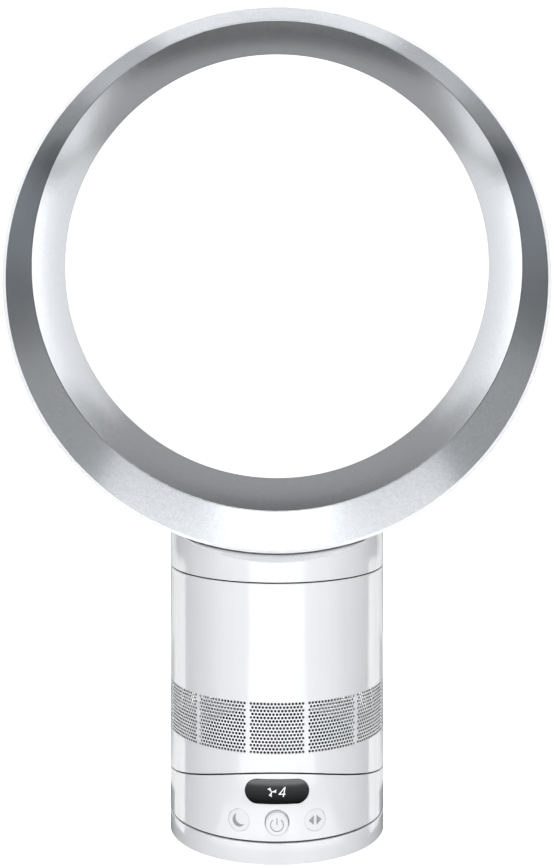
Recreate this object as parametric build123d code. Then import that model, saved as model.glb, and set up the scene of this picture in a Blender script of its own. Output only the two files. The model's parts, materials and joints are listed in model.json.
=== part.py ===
"""Bladeless desk fan, built as the separate pieces it comes apart into, in millimetres.

The frame has its origin on the surface that the fan stands on, under the middle of the round base, with
+Z up and the front of the fan towards -Y. The foot stands still, and the control base swings on it about Z.
The fan body tilts in the control base about a line along X, the impeller spins in the fan body about Z, and
three buttons press in at the front.
"""

import os
from math import acos, asin, cos, degrees, pi, radians, sin, sqrt, tan

from build123d import *

# ---------------------------------------------------------------- the round column, from the bottom up
BASE_R = 72.5  # outer radius of foot, control base and fan body
WALL = 2.5  # casing wall
SEAM = 1.0  # open line between one casing and the next
SWING_SEAM = 1.2  # open line between foot and control base
FOOT_TOP = 14.2  # top of the foot's deck
BUTTON_RISE = 12.4  # middle of the buttons above the control base's lower edge
WINDOW_RISE = 19.4  # middle of the window above the middle of the buttons
SEAM_RISE = 11.9  # curved seam above the middle of the window, at the front
PANEL_RISE = 28.3  # middle of the inlet panels above that seam
CASING_RISE = 91.9  # top edge of the fan body's casing above the middle of the panels
NECK_RISE = 13.6  # lowest point of the loop above the neck's lower edge
RUN_GAP = 0.3  # clearance between faces that slide past each other
FIT_GAP = 0.2  # clearance round a piece dropped into its opening
HOLE_GAP = 0.05  # clearance round a screw's shank
HEAD_GAP = 0.1  # clearance round a screw's head
EDGE_ROUND = 0.5  # softened outer edges of the mouldings

# ---------------------------------------------------------------- tilt
TILT_R = 180.8  # radius of the curved seam, about the tilt axis, which runs along X
TILT_LIMIT = 10.0  # degrees each way
FLOOR_T = 2.9  # curved floor of the fan body
CRADLE_T = 2.5  # curved top of the control base
RAIL_X = 28.0  # middle of each rail
RAIL_STEM = 5.4  # width of a rail's stem
RAIL_HEAD = 12.0  # width of a rail's head
RAIL_HEAD_T = 2.5
RAIL_HALF_DEG = 7.5  # half of a rail's length, as an angle about the tilt axis
PAD_X = 50.0
PAD_Y = 22.0
PAD_W = 10.0
PAD_L = 18.0

# ---------------------------------------------------------------- foot
FOOT_ROUND = 0.6  # softened lower edge
FOOT_DECK_T = 2.2
PLATE_T = 2.0  # underside plate
PAD_LIFT = 0.5  # how far the rubber pads stand out under the plate
PAD_SINK = 0.8  # how deep they sit in it
RUBBER_R = 6.0
RUBBER_INSET = 14.0  # middle of each rubber pad inside the casing wall
RUBBER_COUNT = 5
FOOT_BOSS_RING_R = 34.0
SCREW_COUNT = 4
SCREW_TURN = 45.0  # angle of the first screw of each ring
BOSS_R = 4.0
SCREW_R = 1.5
SCREW_HEAD_R = 2.8
SCREW_HEAD_T = 1.4
SCREW_SHORT = 1.0  # how far a screw ends below the end of its hole
GLAND_STEP = 0.4  # how much the bush's flange stands out round its body
GLAND_FLANGE_T = 1.2
GLAND_BORE_R = 3.1
SLIP_INSET = 1.5  # rim of the slip ring inside the column's face, where it darkens the open line
SLIP_W = 8.0

# ---------------------------------------------------------------- swing drive
SWING_LIMIT = 45.0  # degrees each way
SPINDLE_R = 11.0
SPINDLE_WALL = 4.0
SPINDLE_FLANGE = 5.0  # how far the flange stands out round the spindle
SPINDLE_FLANGE_T = 2.0
SPINDLE_FIT = 0.08  # radial running clearance in the turntable's hub
SPINDLE_END = 1.0  # length of the spindle above the clip
HUB_WALL = 4.0
HUB_RISE = 3.0  # hub above the turntable
TURNTABLE_T = 2.5
GEAR_MODULE = 1.0
SUN_TEETH = 36
PINION_TEETH = 12
GEAR_T = 5.0
GEAR_BACKLASH = 0.3
GEAR_ADDENDUM = 0.9  # in modules
GEAR_DEDENDUM = 1.25  # in modules
PRESSURE_ANGLE = radians(20)
FLANK_STEPS = 4
CLIP_T = 1.2
CLIP_RIM = 2.0  # how far the clip stands out round the spindle
CLIP_SINK = 1.0  # depth of the groove that the clip sits in
PINION_SHAFT_R = 1.5
SHAFT_IN = 4.5  # depth of the bore in the swing motor for the pinion's shaft
MOTOR_R = 13.0
MOTOR_CLEAR = 2.0  # between swing motor and cradle
BRACKET_T = 1.2
BRACKET_HALF_X = 23.0
BRACKET_HALF_Y = 10.5
BRACKET_LEG_T = 3.0
BRACKET_HOLE_R = 3.5
STOP_RING_R = 44.0
STOP_PIN_R = 2.0
STOP_SLOT_DEEP = 4.4  # depth of the slot that the stop pin runs in
BOARD_T = 1.6
BOARD_GAP = 1.2  # between the power board's corners and the button carrier
BOARD_BACK_GAP = 1.0  # between the power board's back edge and the spindle
POWER_BOARD_W = 70.0
POWER_BOARD_LIFT = 11.3  # above the turntable
COMPONENT_CLEAR = 1.5  # between the components and the cradle
TRANSFORMER_W = 20.0
TRANSFORMER_D = 18.0
CAPACITOR_R = 4.0
COMPONENT_GAP = 4.0
SINK_T = 3.0
SINK_D = 24.0
POST_INSET = 5.0
POST_R = 3.0
BASE_SCREW_INSET = 3.5  # middle of each screw inside the casing wall
BASE_BOSS_H = 12.3

# ---------------------------------------------------------------- controls
WINDOW_W = 40.8  # straight across, not along the curve
WINDOW_H = 15.6
WINDOW_PROUD = 0.35
WINDOW_BACK = 0.6  # thickness of the window's flange behind the wall
WINDOW_LIP = 1.6  # how far the flange runs past each end of the window
WINDOW_FLANGE_H = 9.0
BUTTON_DEG = 19.7  # the side buttons' angle either side of the middle
SMALL_BUTTON_R = 7.0
POWER_BUTTON_R = 7.4
POWER_GAP = 0.5  # clearance round the power button
POWER_PROUD = 5.0  # how far the power button stands out
POWER_ROUND = 1.6
POWER_DISH_R = 5.6  # shallow dish in its face, which the sign is printed in
POWER_DISH = 0.1
SMALL_SINK = 0.15  # the side buttons lie this far inside the wall's face
BUTTON_TRAVEL = 0.8
BUTTON_FLANGE = 1.3
BUTTON_FLANGE_T = 1.2
STEM_R = 3.0
STEM_DEPTH = 4.3  # how far a stem reaches in from the wall's inner face
DOME_GAP = 0.1  # left between stem and dome when a button is pressed in
CARRIER_DEPTH = 9.0  # from the wall's inner face to the curved button carrier
CARRIER_T = 2.0
CARRIER_RISE = 10.2  # top of the carrier above the middle of the buttons
CARRIER_HALF_DEG = 33.0
MAT_INSET_DEG = 2.0
MAT_T = 1.0
MAT_GAP = 0.1  # between carrier and mat
DOME_R = 4.2
DOME_TOP_R = 2.6
DISPLAY_BOARD_W = 36.0
DISPLAY_BOARD_GAP = 0.5  # between the board's top edge and the cradle
DISPLAY_W = 24.0
DISPLAY_H = 6.0

# ---------------------------------------------------------------- inlet
PANEL_COUNT = 12
PANEL_BAR_DEG = 2.0  # angle of the bar between one panel and the next
PANEL_H = 33.0
PANEL_T = 1.6
HOLE_R = 1.5
HOLE_PITCH = 4.4

# ---------------------------------------------------------------- blower
BLOWER_DROP = 89.3  # inlet mouth below the casing's top edge
DUCT_GAP = 16.0  # between the casing wall and the inside of the housing's barrel
CONE_STEP = 14.0  # how much narrower the housing's mouth is than its barrel
ANNULUS_W = 22.0  # width of the air passage round the motor bucket
CONE_H = 27.0
BARREL_H = 33.0
HOUSING_T = 2.0
HOUSING_FLANGE_T = 2.0
HOUSING_FLANGE_RISE = 1.0  # flange above the shoulder
HOUSING_FLANGE_INSET = 4.0  # flange's rim inside the casing wall
SEAT_T = 3.0
SEAT_GAP = 3.0  # between housing and seat
GASKET_T = 2.0
SHROUD_GAP = 1.0
SHROUD_T = 1.5
IMPELLER_IN = 2.5  # lower edge of the impeller inside the mouth
IMPELLER_GAP = 1.5  # between impeller and motor bucket
HUB_R_LOW = 11.0
HUB_STEP = 1.0  # how much narrower the hub's top is than the motor bucket
BLADE_COUNT = 9
BLADE_T = 1.6
BLADE_ARC_R = 46.0
SHAFT_R = 2.5
SHAFT_FIT = 0.04
BUCKET_T = 2.0
BUCKET_H = 34.0
BEARING_R = 8.0
BEARING_H = 4.0
ROTOR_SHARE = 0.4  # radius of the magnet ring as a share of the bucket's inner radius
STATOR_GAP = 0.6
STATOR_H = 15.0
VANE_COUNT = 11
VANE_T = 1.4
VANE_LEAN = 28.0  # degrees
VANE_RING_T = 1.2
VANE_RISE = 5.0  # lower edge of the vanes above the bucket's
VANE_H = 26.0
FOAM_H = 40.0
FOAM_GAP = 0.3
FOAM_RISE = 2.0  # lower edge of the foam above the housing's flange
DRIVER_BOARD_W = 36.0
DRIVER_BOARD_D = 56.0
DRIVER_BOARD_LIFT = 12.8  # above the lowest part of the floor's top

# ---------------------------------------------------------------- loop
LOOP_DEPTH = 94.0
LOOP_R = 179.4  # outer radius of the loop
BORE_LIFT = 8.7  # height of the bore's centre above the outer circle's, so that the loop is thicker below
LOOP_T = 2.2
LOOP_ROUND = 13.0  # rounding of the loop's outer back edge
LOOP_LIP = 1.9  # width of the white edge seen round the front
FLARE_DEPTH = 17.0  # from the loop's front edge back to the line where the flare meets the barrel
FLARE_IN = 16.0  # how much narrower the bore is at that line than the loop's outside
FLARE_T = 2.2
FLARE_RIM_W = 2.0  # band of the flare that sits in the loop's front edge
FLARE_SLEEVE_W = 6.0  # sleeve of the flare round the barrel's front end
BARREL_LINE = 0.8  # open line between flare and barrel
BARREL_T = 2.0
BARREL_BULGE = 0.8
BARREL_STEP = 0.4  # how much narrower the barrel starts than the flare ends
BARREL_IN = 13.7  # how much narrower the throat is than the flare's inner end
THROAT_DEPTH = 12.0  # from the loop's back edge forward to the throat, the narrowest place
NOSE_R = 6.0  # rounding of the barrel's back end, which the air follows out of the slot
NOSE_RIM = 2.0  # flat rim that ends the rounding
SLOT = 1.0  # air slot between nose and rear lip
REAR_LIP_OUT = 2.1  # how much wider the rear lip is than the throat, which hides it from the front
REAR_LIP_T = 1.0
REAR_LIP_ROUND = 1.5
SPACER_COUNT = 12
SPACER_W = 3.0
PASSAGE_W = 92.0  # opening from the neck up into the loop
PASSAGE_D = 62.0
PASSAGE_RIM = 3.0  # raised rim round that opening, which carries the loop
SPIGOT_T = 2.2
SPIGOT_DROP = 7.0
GASKET_INSET = 0.8  # rim of the neck's seal inside the column's face
COLLAR_W = 8.0
COLLAR_T = 3.0

# ---------------------------------------------------------------- worked out from the above
CASING_R_IN = BASE_R - WALL
BASE_Z = FOOT_TOP + SWING_SEAM
BUTTON_Z = BASE_Z + BUTTON_RISE
WINDOW_Z = BUTTON_Z + WINDOW_RISE
SEAM_Z = WINDOW_Z + SEAM_RISE
TILT_Z = SEAM_Z + sqrt(TILT_R**2 - BASE_R**2)
FLOOR_R = TILT_R - SEAM / 2
CRADLE_R = TILT_R + SEAM / 2
PAD_T = SEAM - RUN_GAP
PANEL_Z = SEAM_Z + PANEL_RISE
PANEL_SPAN = 360 / PANEL_COUNT - PANEL_BAR_DEG
CASING_TOP = PANEL_Z + CASING_RISE
NECK_Z = CASING_TOP + SEAM
LOOP_Z = NECK_Z + NECK_RISE + LOOP_R
BORE_Z = LOOP_Z + BORE_LIFT

DECK_LOW = FOOT_TOP - FOOT_DECK_T
PLATE_TOP = PAD_LIFT + PLATE_T
GLAND_Z = (PLATE_TOP + DECK_LOW) / 2
GLAND_FLANGE_R = (DECK_LOW - PLATE_TOP) / 2 - HEAD_GAP
GLAND_R = GLAND_FLANGE_R - GLAND_STEP
RUBBER_RING_R = CASING_R_IN - RUBBER_INSET
SLIP_R_OUT = BASE_R - SLIP_INSET
BASE_SCREW_RING_R = CASING_R_IN - BASE_SCREW_INSET

TURNTABLE_TOP = BASE_Z + TURNTABLE_T
HUB_TOP = TURNTABLE_TOP + HUB_RISE
GEAR_Z = HUB_TOP + RUN_GAP
GEAR_DISTANCE = GEAR_MODULE * (SUN_TEETH + PINION_TEETH) / 2
CLIP_Z = GEAR_Z + GEAR_T
SPINDLE_TOP = CLIP_Z + CLIP_T + SPINDLE_END
BRACKET_Z = SPINDLE_TOP + RUN_GAP
MOTOR_Z = BRACKET_Z + BRACKET_T
POWER_BOARD_Z = TURNTABLE_TOP + POWER_BOARD_LIFT
STEM_END_R = CASING_R_IN - STEM_DEPTH
CARRIER_R = CASING_R_IN - CARRIER_DEPTH
CARRIER_TOP = BUTTON_Z + CARRIER_RISE
POWER_BOARD_FRONT = -sqrt((CARRIER_R - CARRIER_T - BOARD_GAP) ** 2 - (POWER_BOARD_W / 2) ** 2)
POWER_BOARD_D = -(SPINDLE_R + BOARD_BACK_GAP) - POWER_BOARD_FRONT
POWER_BOARD_Y = POWER_BOARD_FRONT + POWER_BOARD_D / 2

DRIVER_BOARD_Z = TILT_Z - FLOOR_R + FLOOR_T + DRIVER_BOARD_LIFT
SHOULDER_R = CASING_R_IN - DUCT_GAP
MOUTH_R = SHOULDER_R - CONE_STEP
BUCKET_R = SHOULDER_R - ANNULUS_W
HUB_R_HIGH = BUCKET_R - HUB_STEP
ROTOR_R = ROTOR_SHARE * (BUCKET_R - BUCKET_T)
COLLAR_R_IN = CASING_R_IN - COLLAR_W
MOUTH_Z = CASING_TOP - BLOWER_DROP
SHOULDER_Z = MOUTH_Z + CONE_H
HOUSING_TOP = SHOULDER_Z + BARREL_H
HOUSING_FLANGE_Z = SHOULDER_Z + HOUSING_FLANGE_RISE
HOUSING_FLANGE_R = CASING_R_IN - HOUSING_FLANGE_INSET
SEAT_R_IN = SHOULDER_R + HOUSING_T + SEAT_GAP
SEAT_TOP = HOUSING_FLANGE_Z - GASKET_T
BUCKET_LOW = SHOULDER_Z
BUCKET_SPLIT = BUCKET_LOW + BUCKET_H / 2
BUCKET_HIGH = BUCKET_LOW + BUCKET_H
IMPELLER_LOW = MOUTH_Z + IMPELLER_IN
IMPELLER_HIGH = BUCKET_LOW - IMPELLER_GAP
STATOR_LOW = BUCKET_SPLIT - STATOR_H / 2
STATOR_HIGH = BUCKET_SPLIT + STATOR_H / 2
VANE_LOW = BUCKET_LOW + VANE_RISE
VANE_HIGH = VANE_LOW + VANE_H
FOAM_LOW = HOUSING_FLANGE_Z + HOUSING_FLANGE_T + FOAM_RISE
SPIGOT_LOW = NECK_Z - SPIGOT_DROP
SPIGOT_R = CASING_R_IN - FIT_GAP

FRONT_Y = -LOOP_DEPTH / 2
REAR_Y = LOOP_DEPTH / 2
LOOP_R_IN = LOOP_R - LOOP_T
FLARE_R = LOOP_R - FLARE_IN
FLARE_Y = FRONT_Y + FLARE_DEPTH
BARREL_R = FLARE_R - BARREL_STEP
BARREL_R_OUT = BARREL_R + BARREL_T
THROAT_R = FLARE_R - BARREL_IN
THROAT_Y = REAR_Y - THROAT_DEPTH
NOSE_CENTRE_R = THROAT_R + NOSE_R
REAR_LIP_R = THROAT_R + REAR_LIP_OUT
REAR_LIP_Y = THROAT_Y + sqrt((NOSE_R + SLOT) ** 2 - (NOSE_CENTRE_R - REAR_LIP_R - REAR_LIP_T) ** 2)
REACH = 2 * (LOOP_Z + LOOP_R)  # longer than any piece, for cutting tools
CUT_OVER = 1.0  # how far a cutting tool runs past the face that it cuts


# ---------------------------------------------------------------- small helpers
def disc(radius, low, high):
    """A round plate about Z."""
    return Pos(0, 0, (low + high) / 2) * Cylinder(radius, high - low)


def tube(outer, inner, low, high):
    """A round tube about Z."""
    return disc(outer, low, high) - disc(inner, low - CUT_OVER, high + CUT_OVER)


def post(x, y, radius, low, high):
    """A round post standing at x, y."""
    return Pos(x, y, 0) * disc(radius, low, high)


def block(low, high):
    """A box between two corners."""
    size = [h - l for l, h in zip(low, high)]
    middle = [(h + l) / 2 for l, h in zip(low, high)]
    return Pos(*middle) * Box(*size)


def on_ring(shape, count, start=0.0):
    """Copies of a shape spread evenly round Z."""
    return [Rot(0, 0, start + 360 * i / count) * shape for i in range(count)]


def ring_points(radius, count, start=0.0):
    """Places spread evenly on a circle round Z."""
    turns = [radians(start + 360 * i / count) for i in range(count)]
    return [(radius * cos(a), radius * sin(a)) for a in turns]


def spun(points):
    """A closed outline of (radius, height) points turned round the Z axis."""
    outline = Polyline(*[(r, 0, z) for r, z in points], close=True)
    return revolve(make_face(outline), Axis.Z, 360)


def wedge(half_deg):
    """A wedge about the Z axis that opens towards -Y, as high as the tilt axis."""
    side = 2 * BASE_R * tan(radians(half_deg))
    outline = Polyline((0, 0), (side, -2 * BASE_R), (-side, -2 * BASE_R), close=True)
    return extrude(make_face(outline), TILT_Z)


def radial_rod(radius, near, far, height):
    """A cylinder that runs out towards -Y at a height, from near to far from the Z axis."""
    return Pos(0, -(near + far) / 2, height) * Rot(90, 0, 0) * Cylinder(radius, far - near)


def tilt_rod(radius):
    """A cylinder of that radius about the tilt axis."""
    return Pos(0, 0, TILT_Z) * Rot(0, 90, 0) * Cylinder(radius, REACH)


def tilt_shell(outer, inner):
    """The space between two cylinders about the tilt axis, below it."""
    below = block((-REACH / 2, -REACH / 2, TILT_Z - REACH), (REACH / 2, REACH / 2, TILT_Z))
    return (tilt_rod(outer) - tilt_rod(inner)) & below


def tilt_sector(outer, inner, middle_x, width, half_deg):
    """A short arched bar about the tilt axis."""
    reach = 2 * outer
    side = reach * tan(radians(half_deg))
    fan = Polyline((0, 0), (side, -reach), (-side, -reach), close=True)
    arch = extrude(Plane.YZ * make_face(fan), width / 2, both=True)
    return tilt_shell(outer, inner) & (Pos(middle_x, 0, TILT_Z) * arch)


def cradle_low(y):
    """Height of the cradle's underside at a distance y from the middle."""
    return TILT_Z - sqrt((CRADLE_R + CRADLE_T) ** 2 - y**2)


def loop_circle(y, centre_z, radius):
    """A disc that faces along Y."""
    return Plane(origin=(0, y, centre_z), x_dir=(1, 0, 0), z_dir=(0, 1, 0)) * Circle(radius)


def loop_rod(radius, centre_z, y_front, y_back):
    """A cylinder along Y."""
    return extrude(loop_circle(y_front, centre_z, radius), y_back - y_front)


def screw(x, y, low, high):
    """A cheese-head screw along Z, with its head at the low end."""
    return post(x, y, SCREW_R, low, high) + post(x, y, SCREW_HEAD_R, low, low + SCREW_HEAD_T)


def screw_hole(x, y, low, high):
    """The clear hole for a screw, with the sink for its head at the low end."""
    shank = post(x, y, SCREW_R + HOLE_GAP, low - CUT_OVER, high)
    return shank + post(x, y, SCREW_HEAD_R + HEAD_GAP, low - CUT_OVER, low + SCREW_HEAD_T)


def involute(radius, base_r):
    """The involute function at a radius: tan(a) - a, where cos(a) = base_r / radius."""
    angle = acos(min(1.0, base_r / radius))
    return tan(angle) - angle


def gear(teeth, thickness, turned):
    """A spur gear about Z from 0 to its thickness; turned is the angle of one tooth's middle, in degrees.

    A flank point at radius r lies off the tooth's middle by the half tooth angle on the pitch circle, plus
    the involute function at the pitch circle, minus the involute function at r.
    """
    pitch_r = GEAR_MODULE * teeth / 2
    base_r = pitch_r * cos(PRESSURE_ANGLE)
    root_r = pitch_r - GEAR_DEDENDUM * GEAR_MODULE
    tip_r = pitch_r + GEAR_ADDENDUM * GEAR_MODULE
    half_tooth = pi / (2 * teeth) - GEAR_BACKLASH / (4 * pitch_r) + involute(pitch_r, base_r)
    start_r = max(base_r, root_r)
    flank = [start_r + (tip_r - start_r) * i / FLANK_STEPS for i in range(FLANK_STEPS + 1)]
    half = [(root_r, half_tooth - involute(start_r, base_r))]
    half += [(r, half_tooth - involute(r, base_r)) for r in flank if r > root_r]
    points = []
    for i in range(teeth):
        middle = radians(turned) + 2 * pi * i / teeth
        points += [(r * cos(middle - a), r * sin(middle - a)) for r, a in half]
        points += [(r * cos(middle + a), r * sin(middle + a)) for r, a in reversed(half)]
    return extrude(make_face(Polyline(*points, close=True)), thickness)


# ---------------------------------------------------------------- foot
def foot_shell():
    """The still outer ring under the fan, with the deck that carries the spindle."""
    shell = disc(BASE_R, PAD_LIFT, FOOT_TOP)
    shell = fillet(shell.edges().group_by(Axis.Z)[0], FOOT_ROUND)
    shell = fillet(shell.edges().group_by(Axis.Z)[-1], EDGE_ROUND)
    shell -= disc(CASING_R_IN, 0, DECK_LOW)
    for x, y in foot_screw_places():
        shell += post(x, y, BOSS_R, PLATE_TOP, DECK_LOW)
        shell -= post(x, y, SCREW_R + HOLE_GAP, PLATE_TOP - CUT_OVER, DECK_LOW)
    shell -= disc(SPINDLE_R, DECK_LOW - CUT_OVER, FOOT_TOP + CUT_OVER)
    shell -= stop_slot()
    return shell - Rot(0, 0, 180) * radial_rod(GLAND_R, BASE_R - 2 * WALL, BASE_R + CUT_OVER, GLAND_Z)


def foot_screw_places():
    """Places of the screws that hold the plate to the deck's bosses."""
    return ring_points(FOOT_BOSS_RING_R, SCREW_COUNT, SCREW_TURN)


def stop_slot():
    """The curved slot in the deck that ends the swing, with room for the stop pin."""
    half_width = STOP_PIN_R + RUN_GAP
    half_deg = SWING_LIMIT + degrees(asin(half_width / STOP_RING_R))
    low, high = FOOT_TOP - STOP_SLOT_DEEP, FOOT_TOP + CUT_OVER
    ring = tube(STOP_RING_R + half_width, STOP_RING_R - half_width, low, high)
    return ring & (Rot(0, 0, 180) * wedge(half_deg))


def foot_plate():
    """The plate screwed on under the foot."""
    plate = disc(CASING_R_IN - FIT_GAP, PAD_LIFT, PLATE_TOP)
    for x, y in rubber_places():
        plate -= post(x, y, RUBBER_R, 0, PAD_LIFT + PAD_SINK)
    for x, y in foot_screw_places():
        plate -= screw_hole(x, y, PAD_LIFT, PLATE_TOP + CUT_OVER)
    return plate


def rubber_places():
    """Places of the rubber pads, the first of them at the back."""
    return ring_points(RUBBER_RING_R, RUBBER_COUNT, 90)


def rubber_feet():
    """The five pads that the fan stands on."""
    return [post(x, y, RUBBER_R, 0, PAD_LIFT + PAD_SINK) for x, y in rubber_places()]


def foot_screws():
    """The screws that hold the plate to the deck's bosses."""
    return [screw(x, y, PAD_LIFT, DECK_LOW - SCREW_SHORT) for x, y in foot_screw_places()]


def pivot_spindle():
    """The hollow post that the control base turns on; the mains lead comes up through it."""
    low = DECK_LOW - SPINDLE_FLANGE_T
    spindle = disc(SPINDLE_R, low, SPINDLE_TOP) + disc(SPINDLE_R + SPINDLE_FLANGE, low, DECK_LOW)
    spindle -= tube(SPINDLE_R + CUT_OVER, SPINDLE_R - CLIP_SINK, CLIP_Z, CLIP_Z + CLIP_T)
    return spindle - disc(SPINDLE_R - SPINDLE_WALL, 0, SPINDLE_TOP + CUT_OVER)


def fixed_gear():
    """The still gear on the spindle that the swing motor's pinion walks round."""
    body = Pos(0, 0, GEAR_Z) * gear(SUN_TEETH, GEAR_T, 90)
    return body - disc(SPINDLE_R, GEAR_Z - CUT_OVER, CLIP_Z + CUT_OVER)


def spindle_clip():
    """The open ring in the spindle's groove that keeps gear and control base down."""
    ring = tube(SPINDLE_R + CLIP_RIM, SPINDLE_R - CLIP_SINK, CLIP_Z, CLIP_Z + CLIP_T)
    mouth = block((0, -SPINDLE_R / 2, CLIP_Z - CUT_OVER), (2 * SPINDLE_R, SPINDLE_R / 2, SPINDLE_TOP))
    return ring - mouth


def slip_ring():
    """The low-friction ring on the deck that carries the control base."""
    return tube(SLIP_R_OUT, SLIP_R_OUT - SLIP_W, FOOT_TOP, BASE_Z - RUN_GAP)


def cord_gland():
    """The rubber bush in the back of the foot, for a mains lead."""
    outside = sqrt(BASE_R**2 - GLAND_R**2)
    inside = sqrt(CASING_R_IN**2 - GLAND_FLANGE_R**2)
    bush = radial_rod(GLAND_R, inside, outside, GLAND_Z)
    bush += radial_rod(GLAND_FLANGE_R, inside - GLAND_FLANGE_T, inside, GLAND_Z)
    return Rot(0, 0, 180) * (bush - radial_rod(GLAND_BORE_R, CASING_R_IN / 2, 2 * BASE_R, GLAND_Z))


# ---------------------------------------------------------------- control base
def control_housing():
    """The lower casing that swings, with the window and the three button holes."""
    shell = disc(BASE_R, BASE_Z, TILT_Z)
    shell = fillet(shell.edges().group_by(Axis.Z)[0], EDGE_ROUND)
    shell -= tilt_rod(CRADLE_R)
    shell -= disc(CASING_R_IN, 0, TILT_Z)
    high = TURNTABLE_TOP + BASE_BOSS_H
    for x, y in base_screw_places():
        shell += post(x, y, BOSS_R, TURNTABLE_TOP, high) & disc(BASE_R - WALL / 2, 0, high)
        shell -= post(x, y, SCREW_R + HOLE_GAP, TURNTABLE_TOP - CUT_OVER, high - SCREW_SHORT)
    shell -= window_plug(FIT_GAP, CASING_R_IN - CUT_OVER, BASE_R + CUT_OVER)
    for angle, hole_r in button_places():
        shell -= Rot(0, 0, angle) * radial_rod(hole_r, CASING_R_IN / 2, 2 * BASE_R, BUTTON_Z)
    return shell


def base_screw_places():
    """Places of the screws that hold the turntable to the housing's bosses."""
    return ring_points(BASE_SCREW_RING_R, SCREW_COUNT, SCREW_TURN)


def window_plug(margin, inner_r, outer_r):
    """The window's round-ended outline carried through the front wall, grown by a margin."""
    height = WINDOW_H + 2 * margin
    outline = Plane.XZ * Pos(0, WINDOW_Z) * SlotOverall(WINDOW_W + 2 * margin, height)
    return extrude(outline, 2 * BASE_R) & tube(outer_r, inner_r, WINDOW_Z - height, WINDOW_Z + height)


def display_window():
    """The dark round-ended lens, with a thin flange behind the wall that runs past both its ends."""
    low, high = WINDOW_Z - WINDOW_FLANGE_H / 2, WINDOW_Z + WINDOW_FLANGE_H / 2
    half = WINDOW_W / 2 + WINDOW_LIP
    flange = tube(CASING_R_IN, CASING_R_IN - WINDOW_BACK, low, high)
    flange &= block((-half, -BASE_R, low), (half, 0, high))
    return window_plug(0, CASING_R_IN, BASE_R + WINDOW_PROUD) + flange


def button_places():
    """Angle from the front and radius of the hole of the sleep, power and swing buttons."""
    small_hole_r, power_hole_r = SMALL_BUTTON_R + FIT_GAP, POWER_BUTTON_R + POWER_GAP
    return [(-BUTTON_DEG, small_hole_r), (0, power_hole_r), (BUTTON_DEG, small_hole_r)]


def button(radius, face):
    """A round button about the line towards -Y: cap, flange behind the wall and stem."""
    flange_r = radius + BUTTON_FLANGE
    flange_far = sqrt(CASING_R_IN**2 - flange_r**2) - FIT_GAP
    cap = face & radial_rod(radius, flange_far, 2 * BASE_R, BUTTON_Z)
    flange = radial_rod(flange_r, flange_far - BUTTON_FLANGE_T, flange_far, BUTTON_Z)
    return cap + flange + radial_rod(STEM_R, STEM_END_R, flange_far, BUTTON_Z)


def small_button(angle):
    """A side button, whose face follows the round wall."""
    return Rot(0, 0, angle) * button(SMALL_BUTTON_R, disc(BASE_R - SMALL_SINK, BASE_Z, WINDOW_Z))


def sleep_button():
    """The button left of the middle."""
    return small_button(-BUTTON_DEG)


def swing_button():
    """The button right of the middle."""
    return small_button(BUTTON_DEG)


def power_button():
    """The power button, which stands out of the wall with a rounded rim and a dished face."""
    cap = radial_rod(POWER_BUTTON_R, CASING_R_IN / 2, BASE_R + POWER_PROUD, BUTTON_Z)
    cap = fillet(cap.edges().group_by(Axis.Y)[0], POWER_ROUND)
    dish_far = BASE_R + POWER_PROUD
    cap -= radial_rod(POWER_DISH_R, dish_far - POWER_DISH, dish_far + CUT_OVER, BUTTON_Z)
    return button(POWER_BUTTON_R, cap)


def turntable_plate():
    """The control base's floor, with the hub that runs on the spindle and the stop pin."""
    plate = disc(CASING_R_IN, BASE_Z, TURNTABLE_TOP) + disc(SPINDLE_R + HUB_WALL, BASE_Z, HUB_TOP)
    plate -= disc(SPINDLE_R + SPINDLE_FIT, 0, HUB_TOP + CUT_OVER)
    plate += post(0, STOP_RING_R, STOP_PIN_R, DECK_LOW + RUN_GAP, BASE_Z)
    for x, y in power_board_posts():
        plate += post(x, y, POST_R, TURNTABLE_TOP, POWER_BOARD_Z)
    for x, y in base_screw_places():
        plate -= screw_hole(x, y, BASE_Z, TURNTABLE_TOP + CUT_OVER)
    return plate


def base_screws():
    """The screws that hold the turntable to the housing's bosses."""
    high = TURNTABLE_TOP + BASE_BOSS_H - 2 * SCREW_SHORT
    return [screw(x, y, BASE_Z, high) for x, y in base_screw_places()]


def tilt_cradle():
    """The curved top of the control base that the fan body rests over."""
    return tilt_shell(CRADLE_R + CRADLE_T, CRADLE_R) & disc(CASING_R_IN, 0, TILT_Z)


def tilt_rails():
    """Two arched T-bars on the cradle, whose heads hook over the fan body's floor."""
    head_high = FLOOR_R - FLOOR_T - RUN_GAP
    rails = []
    for x in (-RAIL_X, RAIL_X):
        stem = tilt_sector(CRADLE_R, head_high - RAIL_HEAD_T / 2, x, RAIL_STEM, RAIL_HALF_DEG)
        rails.append(stem + tilt_sector(head_high, head_high - RAIL_HEAD_T, x, RAIL_HEAD, RAIL_HALF_DEG))
    return rails


def glide_pads():
    """Four thin sliding pads on the cradle, clear of the casing wall."""
    sheet = tilt_shell(CRADLE_R, CRADLE_R - PAD_T) & disc(CASING_R_IN - 2 * FIT_GAP, 0, TILT_Z)
    places = [(x, y) for x in (-PAD_X, PAD_X) for y in (-PAD_Y, PAD_Y)]
    return [sheet & (Pos(x, y, 0) * Box(PAD_W, PAD_L, 2 * TILT_Z)) for x, y in places]


def button_carrier():
    """The curved panel that stands behind the buttons."""
    return tube(CARRIER_R, CARRIER_R - CARRIER_T, TURNTABLE_TOP, CARRIER_TOP) & wedge(CARRIER_HALF_DEG)


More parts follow.
